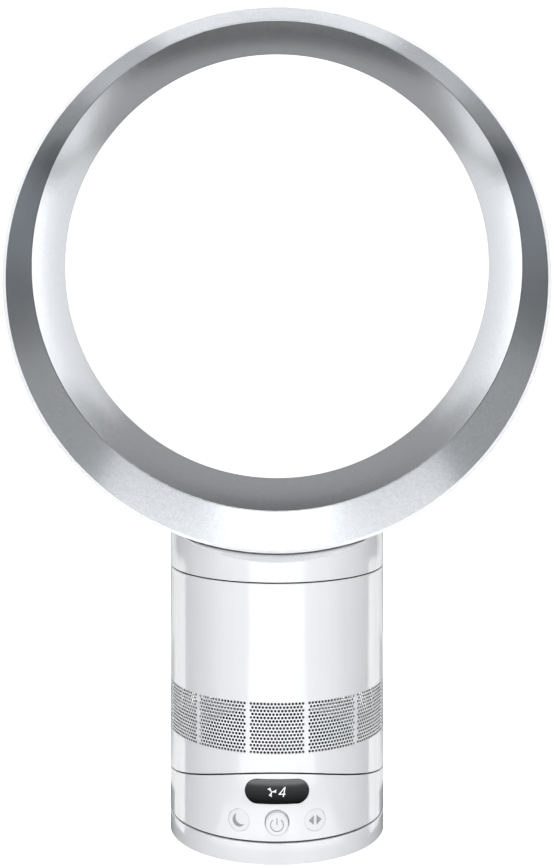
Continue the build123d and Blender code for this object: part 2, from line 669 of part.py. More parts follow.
def keypad_mat():
    """The rubber mat on the carrier, with a dome behind each button."""
    outer, inner = CARRIER_R + MAT_GAP + MAT_T, CARRIER_R + MAT_GAP
    mat = tube(outer, inner, TURNTABLE_TOP + RUN_GAP, CARRIER_TOP - RUN_GAP)
    mat &= wedge(CARRIER_HALF_DEG - MAT_INSET_DEG)
    near = sqrt((outer - MAT_T / 2) ** 2 - DOME_R**2)
    far = STEM_END_R - BUTTON_TRAVEL - DOME_GAP
    dome = Pos(0, -(near + far) / 2, BUTTON_Z) * Rot(90, 0, 0) * Cone(DOME_R, DOME_TOP_R, far - near)
    for angle, _ in button_places():
        mat += Rot(0, 0, angle) * dome
    return mat


def display_board():
    """The small board behind the window, standing on the carrier."""
    half = DISPLAY_BOARD_W / 2
    high = cradle_low(CARRIER_R - BOARD_T) - DISPLAY_BOARD_GAP
    return block((-half, -CARRIER_R, CARRIER_TOP), (half, BOARD_T - CARRIER_R, high))


def display_module():
    """The segment display on that board, close behind the window."""
    half_w, half_h = DISPLAY_W / 2, DISPLAY_H / 2
    front = RUN_GAP - sqrt((CASING_R_IN - WINDOW_BACK) ** 2 - half_w**2)
    return block((-half_w, front, WINDOW_Z - half_h), (half_w, -CARRIER_R, WINDOW_Z + half_h))


def power_board_posts():
    """Places of the posts under the power board."""
    x, y = POWER_BOARD_W / 2 - POST_INSET, POWER_BOARD_D / 2 - POST_INSET
    return [(sx * x, POWER_BOARD_Y + sy * y) for sx in (-1, 1) for sy in (-1, 1)]


def power_board():
    """The mains supply board on the turntable's posts."""
    half_w, half_d = POWER_BOARD_W / 2, POWER_BOARD_D / 2
    low = (-half_w, POWER_BOARD_Y - half_d, POWER_BOARD_Z)
    return block(low, (half_w, POWER_BOARD_Y + half_d, POWER_BOARD_Z + BOARD_T))


def board_components():
    """Transformer, two capacitors and heat sink on the power board, side by side under the cradle."""
    low = POWER_BOARD_Z + BOARD_T
    high = cradle_low(POWER_BOARD_Y + SINK_D / 2) - COMPONENT_CLEAR
    y = POWER_BOARD_Y
    transformer = block((-TRANSFORMER_W, y - TRANSFORMER_D / 2, low), (0, y + TRANSFORMER_D / 2, high))
    first = COMPONENT_GAP + CAPACITOR_R
    second = first + 2 * CAPACITOR_R + COMPONENT_GAP / 2
    capacitors = [post(x, y, CAPACITOR_R, low, high) for x in (first, second)]
    x = second + CAPACITOR_R + COMPONENT_GAP / 2
    sink = block((x, y - SINK_D / 2, low), (x + SINK_T, y + SINK_D / 2, high))
    return [transformer, *capacitors, sink]


def motor_bracket():
    """The bridge over the pinion that carries the swing motor."""
    front, back = GEAR_DISTANCE - BRACKET_HALF_Y, GEAR_DISTANCE + BRACKET_HALF_Y
    bridge = block((-BRACKET_HALF_X, front, TURNTABLE_TOP), (BRACKET_HALF_X, back, MOTOR_Z))
    inner_x = BRACKET_HALF_X - BRACKET_LEG_T
    bridge -= block((-inner_x, front - CUT_OVER, 0), (inner_x, back + CUT_OVER, BRACKET_Z))
    return bridge - post(0, GEAR_DISTANCE, BRACKET_HOLE_R, BRACKET_Z - CUT_OVER, MOTOR_Z + CUT_OVER)


def swing_motor():
    """The slow geared motor that turns the pinion, a little below the cradle."""
    high = cradle_low(GEAR_DISTANCE - MOTOR_R) - MOTOR_CLEAR
    can = post(0, GEAR_DISTANCE, MOTOR_R, MOTOR_Z, high)
    return can - post(0, GEAR_DISTANCE, PINION_SHAFT_R + SPINDLE_FIT, MOTOR_Z - CUT_OVER, shaft_end())


def shaft_end():
    """Height where the bore in the swing motor ends."""
    return MOTOR_Z + SHAFT_IN


def swing_pinion():
    """The pinion that walks round the fixed gear, with a tooth gap towards it."""
    body = Pos(0, GEAR_DISTANCE, GEAR_Z) * gear(PINION_TEETH, GEAR_T, 270 + 180 / PINION_TEETH)
    return body - post(0, GEAR_DISTANCE, PINION_SHAFT_R, GEAR_Z - CUT_OVER, CLIP_Z + CUT_OVER)


def pinion_shaft():
    """The motor's output shaft, pressed into the pinion."""
    return post(0, GEAR_DISTANCE, PINION_SHAFT_R, GEAR_Z, shaft_end() - RUN_GAP)


# ---------------------------------------------------------------- fan body
def tilt_floor():
    """The curved floor of the fan body, slotted for the rails, with posts for the driver board."""
    floor = tilt_shell(FLOOR_R, FLOOR_R - FLOOR_T) & disc(CASING_R_IN, 0, TILT_Z)
    slot_deg = RAIL_HALF_DEG + TILT_LIMIT + degrees(RUN_GAP / FLOOR_R)
    outer, inner = FLOOR_R + CUT_OVER, FLOOR_R - FLOOR_T - CUT_OVER
    for x in (-RAIL_X, RAIL_X):
        floor -= tilt_sector(outer, inner, x, RAIL_STEM + 2 * RUN_GAP, slot_deg)
    for x, y in driver_board_posts():
        low = TILT_Z - sqrt((FLOOR_R - FLOOR_T / 2) ** 2 - y**2)
        floor += post(x, y, POST_R, low, DRIVER_BOARD_Z)
    return floor


def driver_board_posts():
    """Places of the posts under the motor driver board."""
    x, y = DRIVER_BOARD_W / 2 - POST_INSET, DRIVER_BOARD_D / 2 - POST_INSET
    return [(sx * x, sy * y) for sx in (-1, 1) for sy in (-1, 1)]


def driver_board():
    """The motor driver board on the floor's posts."""
    half_w, half_d = DRIVER_BOARD_W / 2, DRIVER_BOARD_D / 2
    return block((-half_w, -half_d, DRIVER_BOARD_Z), (half_w, half_d, DRIVER_BOARD_Z + BOARD_T))


def body_casing():
    """The tall casing of the fan body, with a window for each grille panel."""
    shell = disc(BASE_R, 0, CASING_TOP)
    shell = fillet(shell.edges().group_by(Axis.Z)[-1], EDGE_ROUND)
    shell &= tilt_rod(FLOOR_R)
    shell -= disc(CASING_R_IN, -CUT_OVER, CASING_TOP + CUT_OVER)
    low, high = PANEL_Z - PANEL_H / 2, PANEL_Z + PANEL_H / 2
    window = wedge(PANEL_SPAN / 2) & tube(BASE_R + CUT_OVER, CASING_R_IN - CUT_OVER, low, high)
    return shell - on_ring(window, PANEL_COUNT)


def grille_panel():
    """One perforated panel: narrow flats that follow the round wall, each with one column of holes.

    Every second column is set half a pitch up, so the holes stand in a staggered pattern.
    """
    columns = max(1, round(radians(PANEL_SPAN) * BASE_R / HOLE_PITCH))
    rows = max(2, int(PANEL_H / HOLE_PITCH))
    turns = [radians(PANEL_SPAN * (i / columns - 0.5) - 90) for i in range(columns + 1)]
    outer = [(BASE_R * cos(a), BASE_R * sin(a)) for a in turns]
    inner = [((BASE_R - PANEL_T) * cos(a), (BASE_R - PANEL_T) * sin(a)) for a in reversed(turns)]
    sheet = extrude(make_face(Polyline(*outer, *inner, close=True)), PANEL_H)
    holes = []
    for c in range(columns):
        angle = PANEL_SPAN * ((c + 0.5) / columns - 0.5)
        raised = HOLE_PITCH / 4 if c % 2 else -HOLE_PITCH / 4
        for r in range(rows):
            z = PANEL_Z + raised + (r - (rows - 1) / 2) * HOLE_PITCH
            holes.append(Rot(0, 0, angle) * radial_rod(HOLE_R, BASE_R - 2 * PANEL_T, BASE_R + PANEL_T, z))
    return Pos(0, 0, PANEL_Z - PANEL_H / 2) * sheet - holes


def inlet_grille():
    """The perforated panels round the fan body."""
    return on_ring(grille_panel(), PANEL_COUNT)


def housing_seat():
    """The shelf inside the casing that carries the impeller housing."""
    return tube(CASING_R_IN, SEAT_R_IN, SEAT_TOP - SEAT_T, SEAT_TOP)


def seat_gasket():
    """The soft ring between shelf and housing."""
    return tube(HOUSING_FLANGE_R, SEAT_R_IN, SEAT_TOP, HOUSING_FLANGE_Z)


def impeller_housing():
    """The cone and barrel round the impeller and the vanes, with the flange that sits on the gasket."""
    inside = [(MOUTH_R, MOUTH_Z), (SHOULDER_R, SHOULDER_Z), (SHOULDER_R, HOUSING_TOP)]
    outside = [(r + HOUSING_T, z) for r, z in reversed(inside)]
    flange_low, flange_high = HOUSING_FLANGE_Z, HOUSING_FLANGE_Z + HOUSING_FLANGE_T
    flange = tube(HOUSING_FLANGE_R, SHOULDER_R + HOUSING_T / 2, flange_low, flange_high)
    return spun(inside + outside) + flange


def cone_r(z, inset):
    """Radius of the housing's inner cone at height z, moved in square to the cone by inset."""
    slope = (SHOULDER_R - MOUTH_R) / CONE_H
    return MOUTH_R + slope * (z - MOUTH_Z) - inset * sqrt(1 + slope**2)


def impeller_shroud():
    """The cone that closes the blades' tips and spins with them."""
    outer, inner = SHROUD_GAP, SHROUD_GAP + SHROUD_T
    outside = [(cone_r(z, outer), z) for z in (IMPELLER_LOW, IMPELLER_HIGH)]
    inside = [(cone_r(z, inner), z) for z in (IMPELLER_HIGH, IMPELLER_LOW)]
    return spun(outside + inside)


def impeller():
    """The hub cone with its swept blades, which end at the shroud."""
    low, high = IMPELLER_LOW, IMPELLER_HIGH
    hub = spun([(0, low), (HUB_R_LOW, low), (HUB_R_HIGH, high), (0, high)])
    inset = SHROUD_GAP + SHROUD_T
    space = spun([(0, low), (cone_r(low, inset), low), (cone_r(high, inset), high), (0, high)])
    ring = tube(BLADE_ARC_R + BLADE_T / 2, BLADE_ARC_R - BLADE_T / 2, low, high)
    quarter = block((0, 0, low), (2 * BLADE_ARC_R, 2 * BLADE_ARC_R, high))
    blade = (Pos(0, -BLADE_ARC_R, 0) * (ring & quarter)) & space
    for one in on_ring(blade, BLADE_COUNT):
        hub += one
    return hub - disc(SHAFT_R, low - CUT_OVER, high + CUT_OVER)


def motor_shaft():
    """The steel shaft from the impeller up through both bearings."""
    return disc(SHAFT_R, MOUTH_Z, BUCKET_HIGH - BUCKET_T)


def rotor_magnets():
    """The magnet ring on the shaft."""
    return tube(ROTOR_R, SHAFT_R, STATOR_LOW, STATOR_HIGH)


def motor_stator():
    """The laminated and wound ring round the magnets."""
    return tube(BUCKET_R - BUCKET_T, ROTOR_R + STATOR_GAP, STATOR_LOW, STATOR_HIGH)


def bucket_half(end_z, step):
    """One half of the motor bucket: wall, end wall and bearing seat; step is 1 for lower, -1 for upper."""
    inside = end_z + step * BUCKET_T
    seat_end = inside + step * BEARING_H
    wall = tube(BUCKET_R, BUCKET_R - BUCKET_T, min(end_z, BUCKET_SPLIT), max(end_z, BUCKET_SPLIT))
    end = disc(BUCKET_R, min(end_z, inside), max(end_z, inside))
    seat = tube(BEARING_R + BUCKET_T, BEARING_R, min(inside, seat_end), max(inside, seat_end))
    return wall + end + seat - disc(SHAFT_R + RUN_GAP, BUCKET_LOW - CUT_OVER, BUCKET_HIGH + CUT_OVER)


def motor_bucket_lower():
    """The lower half of the bucket that holds the motor."""
    return bucket_half(BUCKET_LOW, 1)


def motor_bucket_upper():
    """The upper half of the bucket."""
    return bucket_half(BUCKET_HIGH, -1)


def lower_bearing():
    """The bearing in the lower half, as one ring."""
    low = BUCKET_LOW + BUCKET_T
    return tube(BEARING_R, SHAFT_R + SHAFT_FIT, low, low + BEARING_H)


def upper_bearing():
    """The bearing in the upper half, as one ring."""
    high = BUCKET_HIGH - BUCKET_T
    return tube(BEARING_R, SHAFT_R + SHAFT_FIT, high - BEARING_H, high)


def diffuser_vanes():
    """Leaning vanes between the bucket and the housing, on two thin rings."""
    ring = tube(BUCKET_R + VANE_RING_T, BUCKET_R, VANE_LOW, VANE_HIGH)
    ring += tube(SHOULDER_R, SHOULDER_R - VANE_RING_T, VANE_LOW, VANE_HIGH)
    sheet = Rot(VANE_LEAN, 0, 0) * Pos(SHOULDER_R / 2, 0, 0) * Box(SHOULDER_R, VANE_T, 2 * VANE_H)
    between = tube(SHOULDER_R - VANE_RING_T / 2, BUCKET_R + VANE_RING_T / 2, VANE_LOW, VANE_HIGH)
    vane = (Pos(0, 0, (VANE_LOW + VANE_HIGH) / 2) * sheet) & between
    for one in on_ring(vane, VANE_COUNT):
        ring += one
    return ring


def acoustic_foam():
    """The foam sleeve in the space outside the housing."""
    return tube(CASING_R_IN, SHOULDER_R + HOUSING_T + FOAM_GAP, FOAM_LOW, FOAM_LOW + FOAM_H)


def collar_ring():
    """The shelf inside the casing's top that stops the neck's spigot."""
    high = SPIGOT_LOW - FIT_GAP
    return tube(CASING_R_IN, COLLAR_R_IN, high - COLLAR_T, high)


def neck_gasket():
    """The dark seal in the open line between casing and neck."""
    return tube(BASE_R - GASKET_INSET, SPIGOT_R, CASING_TOP, NECK_Z)


# ---------------------------------------------------------------- loop
def neck_passage(margin=0.0):
    """The opening from the neck up into the loop, grown by a margin."""
    outline = SlotOverall(PASSAGE_W + 2 * margin, PASSAGE_D + 2 * margin)
    return Pos(0, 0, NECK_Z) * extrude(outline, LOOP_R / 2)


def loop_neck():
    """The short round neck on the fan body; the loop lies in its hollowed top, on a raised rim."""
    saddle_r = LOOP_R + SEAM
    neck = disc(BASE_R, NECK_Z, LOOP_Z - LOOP_R / 2) - loop_rod(saddle_r, LOOP_Z, -REACH, REACH)
    neck -= disc(SPIGOT_R, 0, LOOP_Z) - loop_rod(saddle_r + LOOP_T, LOOP_Z, -REACH, REACH)
    rim = neck_passage(PASSAGE_RIM) & loop_rod(saddle_r + LOOP_T / 2, LOOP_Z, -REACH, REACH)
    neck = neck + (rim - loop_rod(LOOP_R, LOOP_Z, -REACH, REACH)) - neck_passage()
    return neck + tube(SPIGOT_R, SPIGOT_R - SPIGOT_T, SPIGOT_LOW, NECK_Z + SPIGOT_T)


def loop_solid(inset):
    """The loop's full outer shape, drawn in by inset at the side and the back."""
    solid = loop_rod(LOOP_R - inset, LOOP_Z, FRONT_Y - inset, REAR_Y - inset)
    return fillet(solid.edges().group_by(Axis.Y)[-1], LOOP_ROUND - inset)


def loop_shell():
    """The white outer loop, with the lip round its back that guides the air out of the slot."""
    shell = loop_solid(0)
    shell = fillet(shell.edges().group_by(Axis.Y)[0], EDGE_ROUND)
    shell -= loop_solid(LOOP_T)
    shell += loop_rod(REAR_LIP_R + REAR_LIP_T, BORE_Z, REAR_LIP_Y, REAR_Y - LOOP_T)
    shell -= loop_rod(REAR_LIP_R, BORE_Z, REAR_LIP_Y - CUT_OVER, REAR_Y + CUT_OVER)
    back_edges = shell.edges().filter_by(GeomType.CIRCLE).group_by(Axis.Y)[-1]
    shell = fillet(back_edges.sort_by(SortBy.RADIUS)[0], REAR_LIP_ROUND)
    return shell - neck_passage()


def front_flare():
    """The silver cone that faces forward between the white edge and the bore.

    Its rim sits inside the loop's front edge, and its sleeve sits round the barrel's front end.
    """
    sleeve_r = BARREL_R_OUT + FLARE_T
    rim_y = FRONT_Y + FLARE_RIM_W
    rim, seat = loop_circle(rim_y, LOOP_Z, LOOP_R_IN), loop_circle(FLARE_Y + FLARE_T, BORE_Z, sleeve_r)
    solid = loft([rim, seat], ruled=True)
    solid += loop_rod(LOOP_R_IN, LOOP_Z, FRONT_Y, rim_y)
    solid += loop_rod(sleeve_r, BORE_Z, FLARE_Y, FLARE_Y + FLARE_SLEEVE_W)
    outer, inner = loop_circle(FRONT_Y, LOOP_Z, LOOP_R - LOOP_LIP), loop_circle(FLARE_Y, BORE_Z, FLARE_R)
    solid -= loft([outer, inner], ruled=True)
    return solid - loop_rod(BARREL_R_OUT, BORE_Z, FLARE_Y, FLARE_Y + FLARE_SLEEVE_W + CUT_OVER)


def nose_arc(radius):
    """A quarter round about the nose's centre, from the throat's side to its back."""
    turn = radius * sqrt(0.5)
    side = (NOSE_CENTRE_R - radius, THROAT_Y)
    return ThreePointArc(side, (NOSE_CENTRE_R - turn, THROAT_Y + turn), (NOSE_CENTRE_R, THROAT_Y + radius))


def inner_barrel():
    """The silver bore: a gently bulging cone whose back end rolls outwards behind the throat."""
    front_y = FLARE_Y + BARREL_LINE
    middle_r, middle_y = (BARREL_R + THROAT_R) / 2 - BARREL_BULGE, (front_y + THROAT_Y) / 2
    bore = ThreePointArc((BARREL_R, front_y), (middle_r, middle_y), (THROAT_R, THROAT_Y))
    nose, nose_inside = nose_arc(NOSE_R), nose_arc(NOSE_R - BARREL_T)
    rim_r, rim_y = NOSE_CENTRE_R + NOSE_RIM, THROAT_Y + NOSE_R
    rim = Polyline(nose @ 1, (rim_r, rim_y), (rim_r, rim_y - BARREL_T), nose_inside @ 1)
    seat_end = (BARREL_R_OUT, front_y + FLARE_SLEEVE_W)
    outside = ThreePointArc(nose_inside @ 0, (middle_r + BARREL_T, middle_y), seat_end)
    front = Polyline(seat_end, (BARREL_R_OUT, front_y), (BARREL_R, front_y))
    outline = make_face(bore + nose + rim + nose_inside + outside + front)
    return Pos(0, 0, BORE_Z) * revolve(outline, Axis.Y, 360)


def barrel_spacers():
    """Small blocks that hold the barrel's back end off the shell, so that the slot keeps its width."""
    low = (NOSE_CENTRE_R, THROAT_Y + NOSE_R, -SPACER_W / 2)
    bar = block(low, (NOSE_CENTRE_R + NOSE_RIM, REAR_Y - LOOP_T, SPACER_W / 2))
    turns = [360 * (i + 0.5) / SPACER_COUNT for i in range(SPACER_COUNT)]
    return [Pos(0, 0, BORE_Z) * Rot(0, turn, 0) * bar for turn in turns]


# ---------------------------------------------------------------- writing
PIECES = (
    foot_shell,
    foot_plate,
    rubber_feet,
    foot_screws,
    pivot_spindle,
    fixed_gear,
    spindle_clip,
    slip_ring,
    cord_gland,
    control_housing,
    turntable_plate,
    base_screws,
    tilt_cradle,
    tilt_rails,
    glide_pads,
    display_window,
    display_board,
    display_module,
    button_carrier,
    keypad_mat,
    power_button,
    sleep_button,
    swing_button,
    power_board,
    board_components,
    motor_bracket,
    swing_motor,
    swing_pinion,
    pinion_shaft,
    tilt_floor,
    driver_board,
    body_casing,
    inlet_grille,
    housing_seat,
    seat_gasket,
    impeller_housing,
    impeller_shroud,
    impeller,
    motor_shaft,
    rotor_magnets,
    motor_stator,
    motor_bucket_lower,
    motor_bucket_upper,
    lower_bearing,
    upper_bearing,
    diffuser_vanes,
    acoustic_foam,
    collar_ring,
    neck_gasket,
    loop_neck,
    loop_shell,
    front_flare,
    inner_barrel,
    barrel_spacers,
)


def main():
    """Builds each piece and writes it as its own STEP file, named for its function."""
    os.makedirs("parts", exist_ok=True)
    for make in PIECES:
        made = make()
        shape = Compound(children=made) if isinstance(made, list) else made
        export_step(shape, f"parts/{make.__name__}.step")


if __name__ == "__main__":
    main()
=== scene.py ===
"""Dressed scene of a bladeless table fan: its finishes, fine inlet panels, printed marks and studio.

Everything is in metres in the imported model's frame. The base's centre line is the Z axis, the
front faces -Y and the feet stand on z = 0.
"""

from __future__ import annotations

import json
import logging
import math
from dataclasses import dataclass, replace
from enum import Enum, IntEnum
from typing import Any

import bpy
import numpy as np
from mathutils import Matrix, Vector

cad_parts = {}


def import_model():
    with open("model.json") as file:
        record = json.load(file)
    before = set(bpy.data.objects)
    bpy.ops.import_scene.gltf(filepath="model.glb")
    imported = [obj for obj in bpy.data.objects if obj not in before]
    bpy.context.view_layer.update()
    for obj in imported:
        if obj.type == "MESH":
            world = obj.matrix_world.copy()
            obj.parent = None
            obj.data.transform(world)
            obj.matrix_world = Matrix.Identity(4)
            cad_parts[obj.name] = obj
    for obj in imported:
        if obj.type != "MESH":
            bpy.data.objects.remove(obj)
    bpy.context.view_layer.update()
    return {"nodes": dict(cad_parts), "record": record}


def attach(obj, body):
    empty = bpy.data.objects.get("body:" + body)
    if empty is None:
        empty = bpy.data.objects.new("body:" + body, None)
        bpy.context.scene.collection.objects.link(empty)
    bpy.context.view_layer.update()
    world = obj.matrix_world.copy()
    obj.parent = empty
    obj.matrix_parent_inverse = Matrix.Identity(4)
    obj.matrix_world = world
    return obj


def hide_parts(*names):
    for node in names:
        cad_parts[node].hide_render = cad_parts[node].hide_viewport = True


LOG = logging.getLogger("bladeless_fan")
MM = 0.001
# Points closer than this, in metres, become one.
MERGE_WITHIN = 1e-7

Grid = np.ndarray
Socket = bpy.types.NodeSocket
Tree = bpy.types.NodeTree
Material = bpy.types.Material
Piece = bpy.types.Object
Colour = tuple[float, float, float, float]
# The two ends of a range, a point on a drawing or in plan, and a point in space.
Span = tuple[float, float]
Spot = tuple[float, float]
Place = tuple[float, float, float]
# Patches cut alike: points of shape (patches, points, 3), faces of one patch, and their kinds.
Patches = tuple[Grid, Grid, Grid]

WHITE: Colour = (1.0, 1.0, 1.0, 1.0)


def linear(code: str) -> Colour:
    """Turn an sRGB hex code into a linear colour.

    Args:
        code: Six hex digits, with or without a leading hash.

    Returns:
        The linear red, green and blue, and an alpha of one.
    """
    digits = code.lstrip("#")
    encoded = [int(digits[i : i + 2], 16) / 255 for i in (0, 2, 4)]
    flat = [c / 12.92 if c <= 0.04045 else ((c + 0.055) / 1.055) ** 2.4 for c in encoded]
    return (flat[0], flat[1], flat[2], 1.0)


def add_node(tree: Tree, kind: str, inputs: dict[Any, Any] | None = None, **settings: Any) -> bpy.types.Node:
    """Add a shader node with its settings, constants and links.

    Args:
        tree: Node tree of the material or world.
        kind: Blender's name of the node type.
        inputs: Socket name or index to a constant, or to the output socket that feeds it.
        settings: Properties of the node itself.

    Returns:
        The new node.
    """
    node = tree.nodes.new(kind)
    for name, value in settings.items():
        setattr(node, name, value)
    for socket, value in (inputs or {}).items():
        if isinstance(value, Socket):
            tree.links.new(value, node.inputs[socket])
        else:
            node.inputs[socket].default_value = value
    return node


def empty_material(name: str) -> Material:
    """Make a material whose node tree is empty.

    Args:
        name: Material name.

    Returns:
        The material.
    """
    made = bpy.data.materials.new(name)
    made.use_nodes = True
    made.node_tree.nodes.clear()
    return made


def new_piece(name: str, points: Grid, faces: list[list[int]], smooth: Grid | None = None) -> Piece:
    """Put points and faces into a mesh object at the origin.

    Args:
        name: Piece name.
        points: Vertex positions in metres, one row each.
        faces: Vertex numbers of each face, anticlockwise seen from outside.
        smooth: One flag per face, true where it is shaded smooth.

    Returns:
        The object, linked to the scene.
    """
    mesh = bpy.data.meshes.new(name)
    mesh.from_pydata(points.tolist(), [], faces)
    if smooth is not None:
        mesh.polygons.foreach_set("use_smooth", smooth)
    mesh.update()
    piece = bpy.data.objects.new(name, mesh)
    bpy.context.scene.collection.objects.link(piece)
    return piece


def merged(points: Grid, faces: list[Grid]) -> tuple[Grid, list[list[int]]]:
    """Join points that lie in the same place.

    Args:
        points: Vertex positions in metres, one row each.
        faces: Arrays of faces, all faces of one array with the same count of corners.

    Returns:
        The points left, and every face renumbered to them.
    """
    keys = np.round(points / MERGE_WITHIN).astype(np.int64)
    _, first, number = np.unique(keys, axis=0, return_index=True, return_inverse=True)
    number = number.reshape(-1)
    return points[first], [face for group in faces for face in number[group].tolist()]


def band(first: Grid, second: Grid) -> Grid:
    """Four-cornered faces between two rings of point numbers, which run side by side."""
    return np.stack([first, np.roll(first, -1), np.roll(second, -1), second], axis=-1)


def closed_sheet(front: Grid, back: Grid) -> tuple[Grid, Grid]:
    """Close two matching grids of points into a thin plate.

    The front grid faces outwards with its first index upwards and its second to the right. The
    back grid lies behind it, and one row of faces goes round the rim.

    Args:
        front: Points of the front, of shape (rows, columns, 3).
        back: Points of the back, in the same order.

    Returns:
        The plate's points, and its four-cornered faces.
    """
    rows, columns = front.shape[:2]
    number = np.arange(rows * columns).reshape(rows, columns)
    quads = [number[:-1, :-1], number[:-1, 1:], number[1:, 1:], number[1:, :-1]]
    ahead = np.stack(quads, axis=-1).reshape(-1, 4)
    rim = np.concatenate([number[0], number[1:, -1], number[-1, -2::-1], number[-2:0:-1, 0]])
    shift = rows * columns
    points = np.concatenate([front.reshape(-1, 3), back.reshape(-1, 3)])
    return points, np.concatenate([ahead, ahead[:, ::-1] + shift, band(rim + shift, rim)])


# ---- finishes


@dataclass
class Skin:
    """The Principled shader of one material, and the ways to give it a pattern.

    Attributes:
        tree: The material's node tree.
        shader: Its Principled shader.
        place: Socket with the shaded point, in its object's own metres.
    """

    tree: Tree
    shader: bpy.types.Node
    place: Socket

    def fix(self, name: str, value: float) -> None:
        """Set one of the shader's constants."""
        self.shader.inputs[name].default_value = value

    def feed(self, name: str, source: Socket) -> None:
        """Let another node's output drive one of the shader's inputs."""
        self.tree.links.new(source, self.shader.inputs[name])

    def noise(self, size: float, detail: float) -> Socket:
        """Add cloudy noise from 0 to 1, by the clouds' size in millimetres and its finer layers."""
        inputs = {"Vector": self.place, "Scale": 1 / (size * MM), "Detail": detail}
        return add_node(self.tree, "ShaderNodeTexNoise", inputs).outputs["Fac"]

    def cells(self, size: float) -> Any:
        """Add cellular noise, by the cells' size in millimetres, and return its outputs by name."""
        inputs = {"Vector": self.place, "Scale": 1 / (size * MM)}
        return add_node(self.tree, "ShaderNodeTexVoronoi", inputs).outputs

    def ranged(self, value: Socket, source: Span, target: Span) -> Socket:
        """Carry one range of values over to another, and hold what lies outside at its ends."""
        ends = dict(zip(("From Min", "From Max", "To Min", "To Max"), (*source, *target), strict=True))
        return add_node(self.tree, "ShaderNodeMapRange", {"Value": value, **ends}).outputs["Result"]

    def tone(self, share: Socket, first: str, second: str) -> Socket:
        """Let the base colour run between two tones.

        Args:
            share: Socket with the second tone's share, from 0 to 1.
            first: sRGB hex code where the share is 0.
            second: sRGB hex code where it is 1.

        Returns:
            The socket with the colour.
        """
        inputs = {0: share, 6: linear(first), 7: linear(second)}
        mixed = add_node(self.tree, "ShaderNodeMix", inputs, data_type="RGBA").outputs[2]
        self.feed("Base Color", mixed)
        return mixed

    def gloss(self, share: Socket, middle: float, spread: float, source: Span = (0.0, 1.0)) -> None:
        """Let the roughness go either way from its middle as a pattern crosses the source range."""
        self.feed("Roughness", self.ranged(share, source, (middle - spread, middle + spread)))

    def relief(self, height: Socket, depth: float, strength: float = 1.0) -> None:
        """Let the surface rise and sink with a pattern, to a depth in millimetres."""
        inputs = {"Height": height, "Distance": depth * MM, "Strength": strength}
        self.feed("Normal", add_node(self.tree, "ShaderNodeBump", inputs).outputs["Normal"])


@dataclass(frozen=True)
class Finish:
    """A surface finish, built as one Principled material.

    Attributes:
        name: Material name, after the real material and how it was made.
        colour: sRGB hex code of the surface.
        roughness: Roughness of the surface.
    """

    name: str
    colour: str
    roughness: float

    def material(self) -> Material:
        """Build the material.

        Returns:
            The material, ready to assign.
        """
        made = empty_material(self.name)
        tree = made.node_tree
        plain = {"Base Color": linear(self.colour), "Roughness": self.roughness}
        shader = add_node(tree, "ShaderNodeBsdfPrincipled", plain)
        add_node(tree, "ShaderNodeOutputMaterial", {"Surface": shader.outputs["BSDF"]})
        place = add_node(tree, "ShaderNodeTexCoord").outputs["Object"]
        self.dress(Skin(tree, shader, place))
        return made

    def dress(self, skin: Skin) -> None:
        """Add the finish's own pattern to the plain shader.

        Args:
            skin: The material's shader.
        """
        raise NotImplementedError


@dataclass(frozen=True)
class MouldedPlastic(Finish):
    """Injection-moulded plastic.

    A polished tool leaves a glossy skin with a faint long-wave ripple, and a spark-eroded tool
    leaves a fine even grain. The skin's gloss drifts a little over a few centimetres.

    Attributes:
        ior: Index of refraction of the plastic.
        grain: Size of the skin's grain or ripple in millimetres.
        depth: Depth of the grain in millimetres.
        shade: sRGB hex code of the slightly different tone that the colour drifts to.
        drift: Size of the drift in tone and gloss in millimetres.
        gloss_drift: How much the roughness rises and falls with it.
    """

    ior: float
    grain: float
    depth: float
    shade: str
    drift: float = 45.0
    gloss_drift: float = 0.03

    def dress(self, skin: Skin) -> None:
        """Add the tone drift, the gloss drift and the moulded grain.

        Args:
            skin: The material's shader.
        """
        skin.fix("IOR", self.ior)
        clouds = skin.noise(self.drift, detail=3.0)
        skin.tone(clouds, self.colour, self.shade)
        skin.gloss(clouds, self.roughness, self.gloss_drift, source=(0.3, 0.7))
        skin.relief(skin.noise(self.grain, detail=2.0), self.depth)


@dataclass(frozen=True)
class FlakeLacquer(Finish):
    """Silver lacquer over moulded plastic.

    Aluminium flake in a satin clear coat reads as soft metal: broad smooth reflections with a
    barely visible sparkle, where each flake lies at its own small tilt.

    Attributes:
        flake: Size of the flakes in millimetres. Real flake is 0.03 mm, and it is drawn coarser
            so that a little of it shows.
        pale: sRGB hex code of the palest flakes.
        ripple: Size of the sprayed coat's ripple in millimetres.
        depth: Depth of that ripple in millimetres.
    """

    flake: float
    pale: str
    ripple: float
    depth: float

    def dress(self, skin: Skin) -> None:
        """Add the flakes and the sprayed coat's ripple.

        Args:
            skin: The material's shader.
        """
        skin.fix("Metallic", 1.0)
        flakes = skin.cells(self.flake)
        tilt = add_node(skin.tree, "ShaderNodeSeparateColor", {"Color": flakes["Color"]}).outputs
        skin.tone(tilt["Red"], self.colour, self.pale)
        skin.gloss(tilt["Green"], self.roughness, spread=0.02)
        skin.relief(skin.noise(self.ripple, detail=1.0), self.depth)


